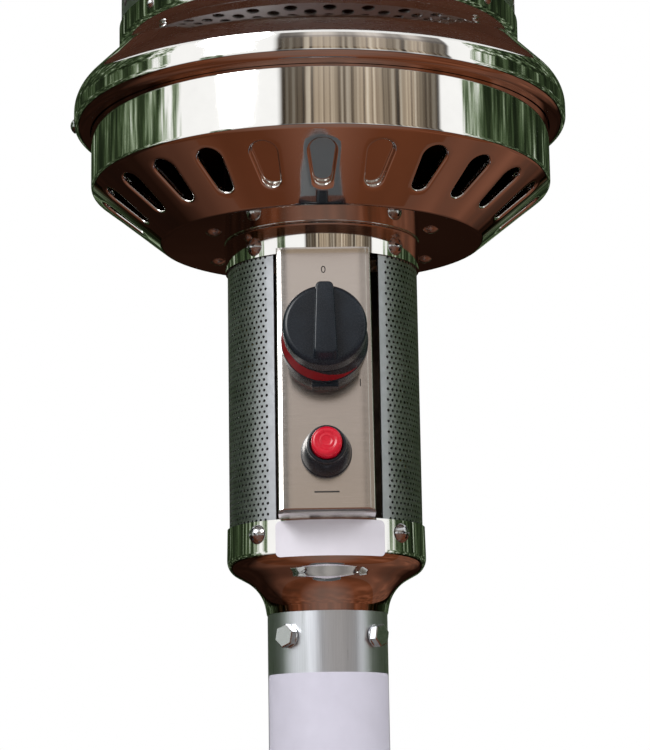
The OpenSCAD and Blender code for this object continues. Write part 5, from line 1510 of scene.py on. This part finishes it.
class HEATER_OT_base(Operator):
    """Round base with feet, wheels, bracket, legs and post socket"""

    bl_idname = "heater.base"
    bl_label = "Base"

    def execute(self, context):
        s = in_mm(context)
        top, low = top_of("base_plate"), foot_of("base_plate")
        rim, edge, seat_r, drop = 3, 12, 112, 6
        path = [(s.base_r - 20, low)]
        path += arc((s.base_r - rim, low + rim), rim, -90, 0, 6)
        path += arc((s.base_r - edge, top - edge), edge, 0, 90, 12)
        path += arc((seat_r + drop + 1, top - 2), 2, 90, 135, 4)
        path += arc((seat_r - 1, top - drop + 2), 2, -45, -90, 4)
        path += [(0, top - drop)]
        formed("base_pressing", path, 2.0, "steel_powder_coated", "base_plate")
        painted = ("wheel_bracket", "leg_left", "leg_right", "leg_rear", "post_socket")
        dressed_alike("steel_powder_coated", "painted_steel", 0.4, *painted)
        dressed("base_feet", "rubber_moulded", 0.3)
        plated = ("wheel_bolts", "wheel_axle", "leg_bolts", "socket_bolts")
        dressed_alike("steel_zinc_plated", "zinc_steel", 0.35, *plated)
        for node in ("wheel_left", "wheel_right"):
            self.wheel(node, s)
        return {"FINISHED"}

    def wheel(self, node, s):
        """Moulded wheel: grooved tread, dished sides and a hub."""
        low, high = (Vector(c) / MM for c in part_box(node))
        centre, half = (low + high) / 2, (high.x - low.x) / 2
        hub, rim, dish = 9.0, s.wheel_r - 7, half - 4
        side = [(4.05, half), (hub - 0.6, half), (hub, half - 0.6), (hub + 1, dish), (rim - 1, dish)]
        side += [(rim, half - 0.6)]
        tread = arc((s.wheel_r - 3, half - 3), 3, 90, 0, 6)
        for x in (4.0, 0.0, -4.0):
            groove = s.wheel_r - 1
            tread += [(s.wheel_r, x + 1), (groove, x + 0.5), (groove, x - 0.5), (s.wheel_r, x - 1)]
        tread += arc((s.wheel_r - 3, 3 - half), 3, 0, -90, 6)
        outline = side + [(rim + 0.6, half)] + tread + [(rim + 0.6, -half)]
        bm = spun(outline + [(r, -x) for r, x in side[::-1]], True, 96)
        place = Matrix.Translation(centre) @ Matrix.Rotation(math.pi / 2, 4, "Y")
        moved(bm, place)
        piece(node + "_moulding", bm, "rubber_moulded", [node], node)


class HEATER_OT_housing(Operator):
    """Tank housing with its beads, and its lid"""

    bl_idname = "heater.housing"
    bl_label = "Tank housing"

    def execute(self, context):
        s = in_mm(context)
        low, high = foot_of("tank_housing"), top_of("tank_housing")
        sheet, out, bead_r = 0.8, 2.0, 4
        path = [(s.housing_r, low)]
        for z in (low + 12, high - 26):
            path += [(s.housing_r, z - 5.5)]
            path += arc((s.housing_r + out - bead_r, z), bead_r, -60, 60, 12)
            path += [(s.housing_r, z + 5.5)]
        path += [(s.housing_r, high)]
        body = "tank_housing"
        formed("housing_wall", path, sheet, "stainless_satin_tube", "tank_housing", body)
        skirt = s.housing_r - sheet - 0.3
        collar = s.post_r + 2 + sheet
        lid_top = top_of("housing_lid") - 6
        path = [(skirt, high - 16)]
        path += arc((skirt - 6, high), 6, 0, 75, 10)
        path += arc((collar + 8, lid_top), 8, 255, 180, 12)
        path += [(collar, lid_top + 6)]
        formed("housing_lid_sheet", path, sheet, "steel_powder_coated", "housing_lid", body)
        screws = bmesh.new()
        for az in (45, 135, 225, 315):
            dome_head(screws, outward(az, s.housing_r, high - 7), radius=4, height=2.4, shank=5)
        fixings("lid_dome_screws", screws, "lid_screws", body)
        return {"FINISHED"}


class HEATER_OT_fasteners(Operator):
    """Screws and rivets of the head"""

    bl_idname = "heater.fasteners"
    bl_label = "Fasteners"

    def execute(self, context):
        s = in_mm(context)
        size = {"radius": 4.8, "height": 3.5, "shank": 5}
        screws = bmesh.new()
        for k in range(4):
            az = 45 + 90 * k + SLEEVE_TURN
            dome_head(screws, outward(az, s.cup_r, CUP_TOP - 6.4), **size)
            dome_head(screws, outward(az, s.collar_r, CUP_TOP + 138), **size)
        fixings("housing_dome_screws", screws, "housing_screws")
        over = Matrix.Rotation(math.pi, 4, "X")
        rivets = bmesh.new()
        for az in (-120, -60, 60, 120):
            known = set(rivets.verts)
            spin(rivets, arc((0, -3.0), 5.0, 90, 37, 8) + [(2, 0), (2, -3), (0, -3)], False, 32)
            place = around(az) @ Matrix.Translation((63, 0, PAN_LOW)) @ over
            bmesh.ops.transform(rivets, matrix=place, verts=fresh(rivets, known))
        fixings("pan_dome_rivets", rivets, "pan_rivets")
        # Each screw of the ring has a nut behind the sheet
        ring = bmesh.new()
        for az in (-90, 135):
            place = outward(az, s.ring_r, PAN_LOW + CONE_RISE + 40 - 2.85)
            dome_head(ring, place, radius=4, height=2.4, shank=6)
            behind = place @ Matrix.Translation((0, 0, -1.95)) @ over
            hex_head(ring, behind, radius=2.9, height=3.0, shank=0.1, washer=3.2)
        fixings("ring_dome_screws", ring, "ring_screws")
        dressed_alike("steel_zinc_plated", "zinc_steel", 0.2, "pan_screws", "emitter_screws")
        return {"FINISHED"}


class HEATER_OT_gasworks(Operator):
    """Valve, tubes, burner and pilot inside the head"""

    bl_idname = "heater.gasworks"
    bl_label = "Valve and burner"

    def execute(self, context):
        turned = ("valve_plug", "valve_body", "inlet_fitting", "burner_jet")
        dressed_alike("brass_turned", "valve_brass", 0.3, *turned)
        dressed_alike("steel_zinc_plated", "zinc_steel", 0.25, "valve_cap", "valve_screws")
        tubes = ("gas_tube", "burner_mount", "venturi", "pilot_bracket")
        dressed_alike("stainless_satin_tube", "satin_steel", 0.0, *tubes)
        dressed("tilt_switch", "abs_black_moulded", 0.5)
        dressed("pilot_tube", "copper_drawn")
        dressed("thermocouple", "copper_drawn", 0.2)
        dressed("burner_head", "iron_cast", 0.3)
        dressed("pilot_burner", "iron_cast", 0.2)
        dressed("spark_electrode", "alumina_glazed", 0.2)
        return {"FINISHED"}


STEPS = (
    HEATER_OT_post,
    HEATER_OT_neck_cup,
    HEATER_OT_sleeve,
    HEATER_OT_panel,
    HEATER_OT_knob,
    HEATER_OT_igniter,
    HEATER_OT_pan,
    HEATER_OT_ring,
    HEATER_OT_emitter,
    HEATER_OT_reflector,
    HEATER_OT_base,
    HEATER_OT_housing,
    HEATER_OT_fasteners,
    HEATER_OT_gasworks,
    HEATER_OT_stage,
)


class HEATER_PT_sidebar(Panel):
    """Lists the sizes, colours and building steps of the heater"""

    bl_idname = "HEATER_PT_sidebar"
    bl_label = "Patio heater"
    bl_space_type = "VIEW_3D"
    bl_region_type = "UI"
    bl_category = "Heater"

    def draw(self, context):
        layout = self.layout
        for attribute in GROUPS:
            group = getattr(context.scene, attribute)
            box = layout.box()
            for name in type(group).__annotations__:
                box.prop(group, name)
        for step in STEPS:
            layout.operator(step.bl_idname)


GROUPS = {"heater_sizes": HeaterSizes, "heater_counts": HeaterCounts, "heater_colours": HeaterColours}


def register():
    for group in GROUPS.values():
        bpy.utils.register_class(group)
    for name, group in GROUPS.items():
        setattr(bpy.types.Scene, name, PointerProperty(type=group))
    for step in STEPS:
        bpy.utils.register_class(step)
    bpy.utils.register_class(HEATER_PT_sidebar)


def unregister():
    bpy.utils.unregister_class(HEATER_PT_sidebar)
    for step in reversed(STEPS):
        bpy.utils.unregister_class(step)
    for name, group in GROUPS.items():
        delattr(bpy.types.Scene, name)
        bpy.utils.unregister_class(group)


def main():
    register()
    for step in STEPS:
        getattr(bpy.ops.heater, step.bl_idname.split(".")[1])()


if __name__ == "__main__":
    main()
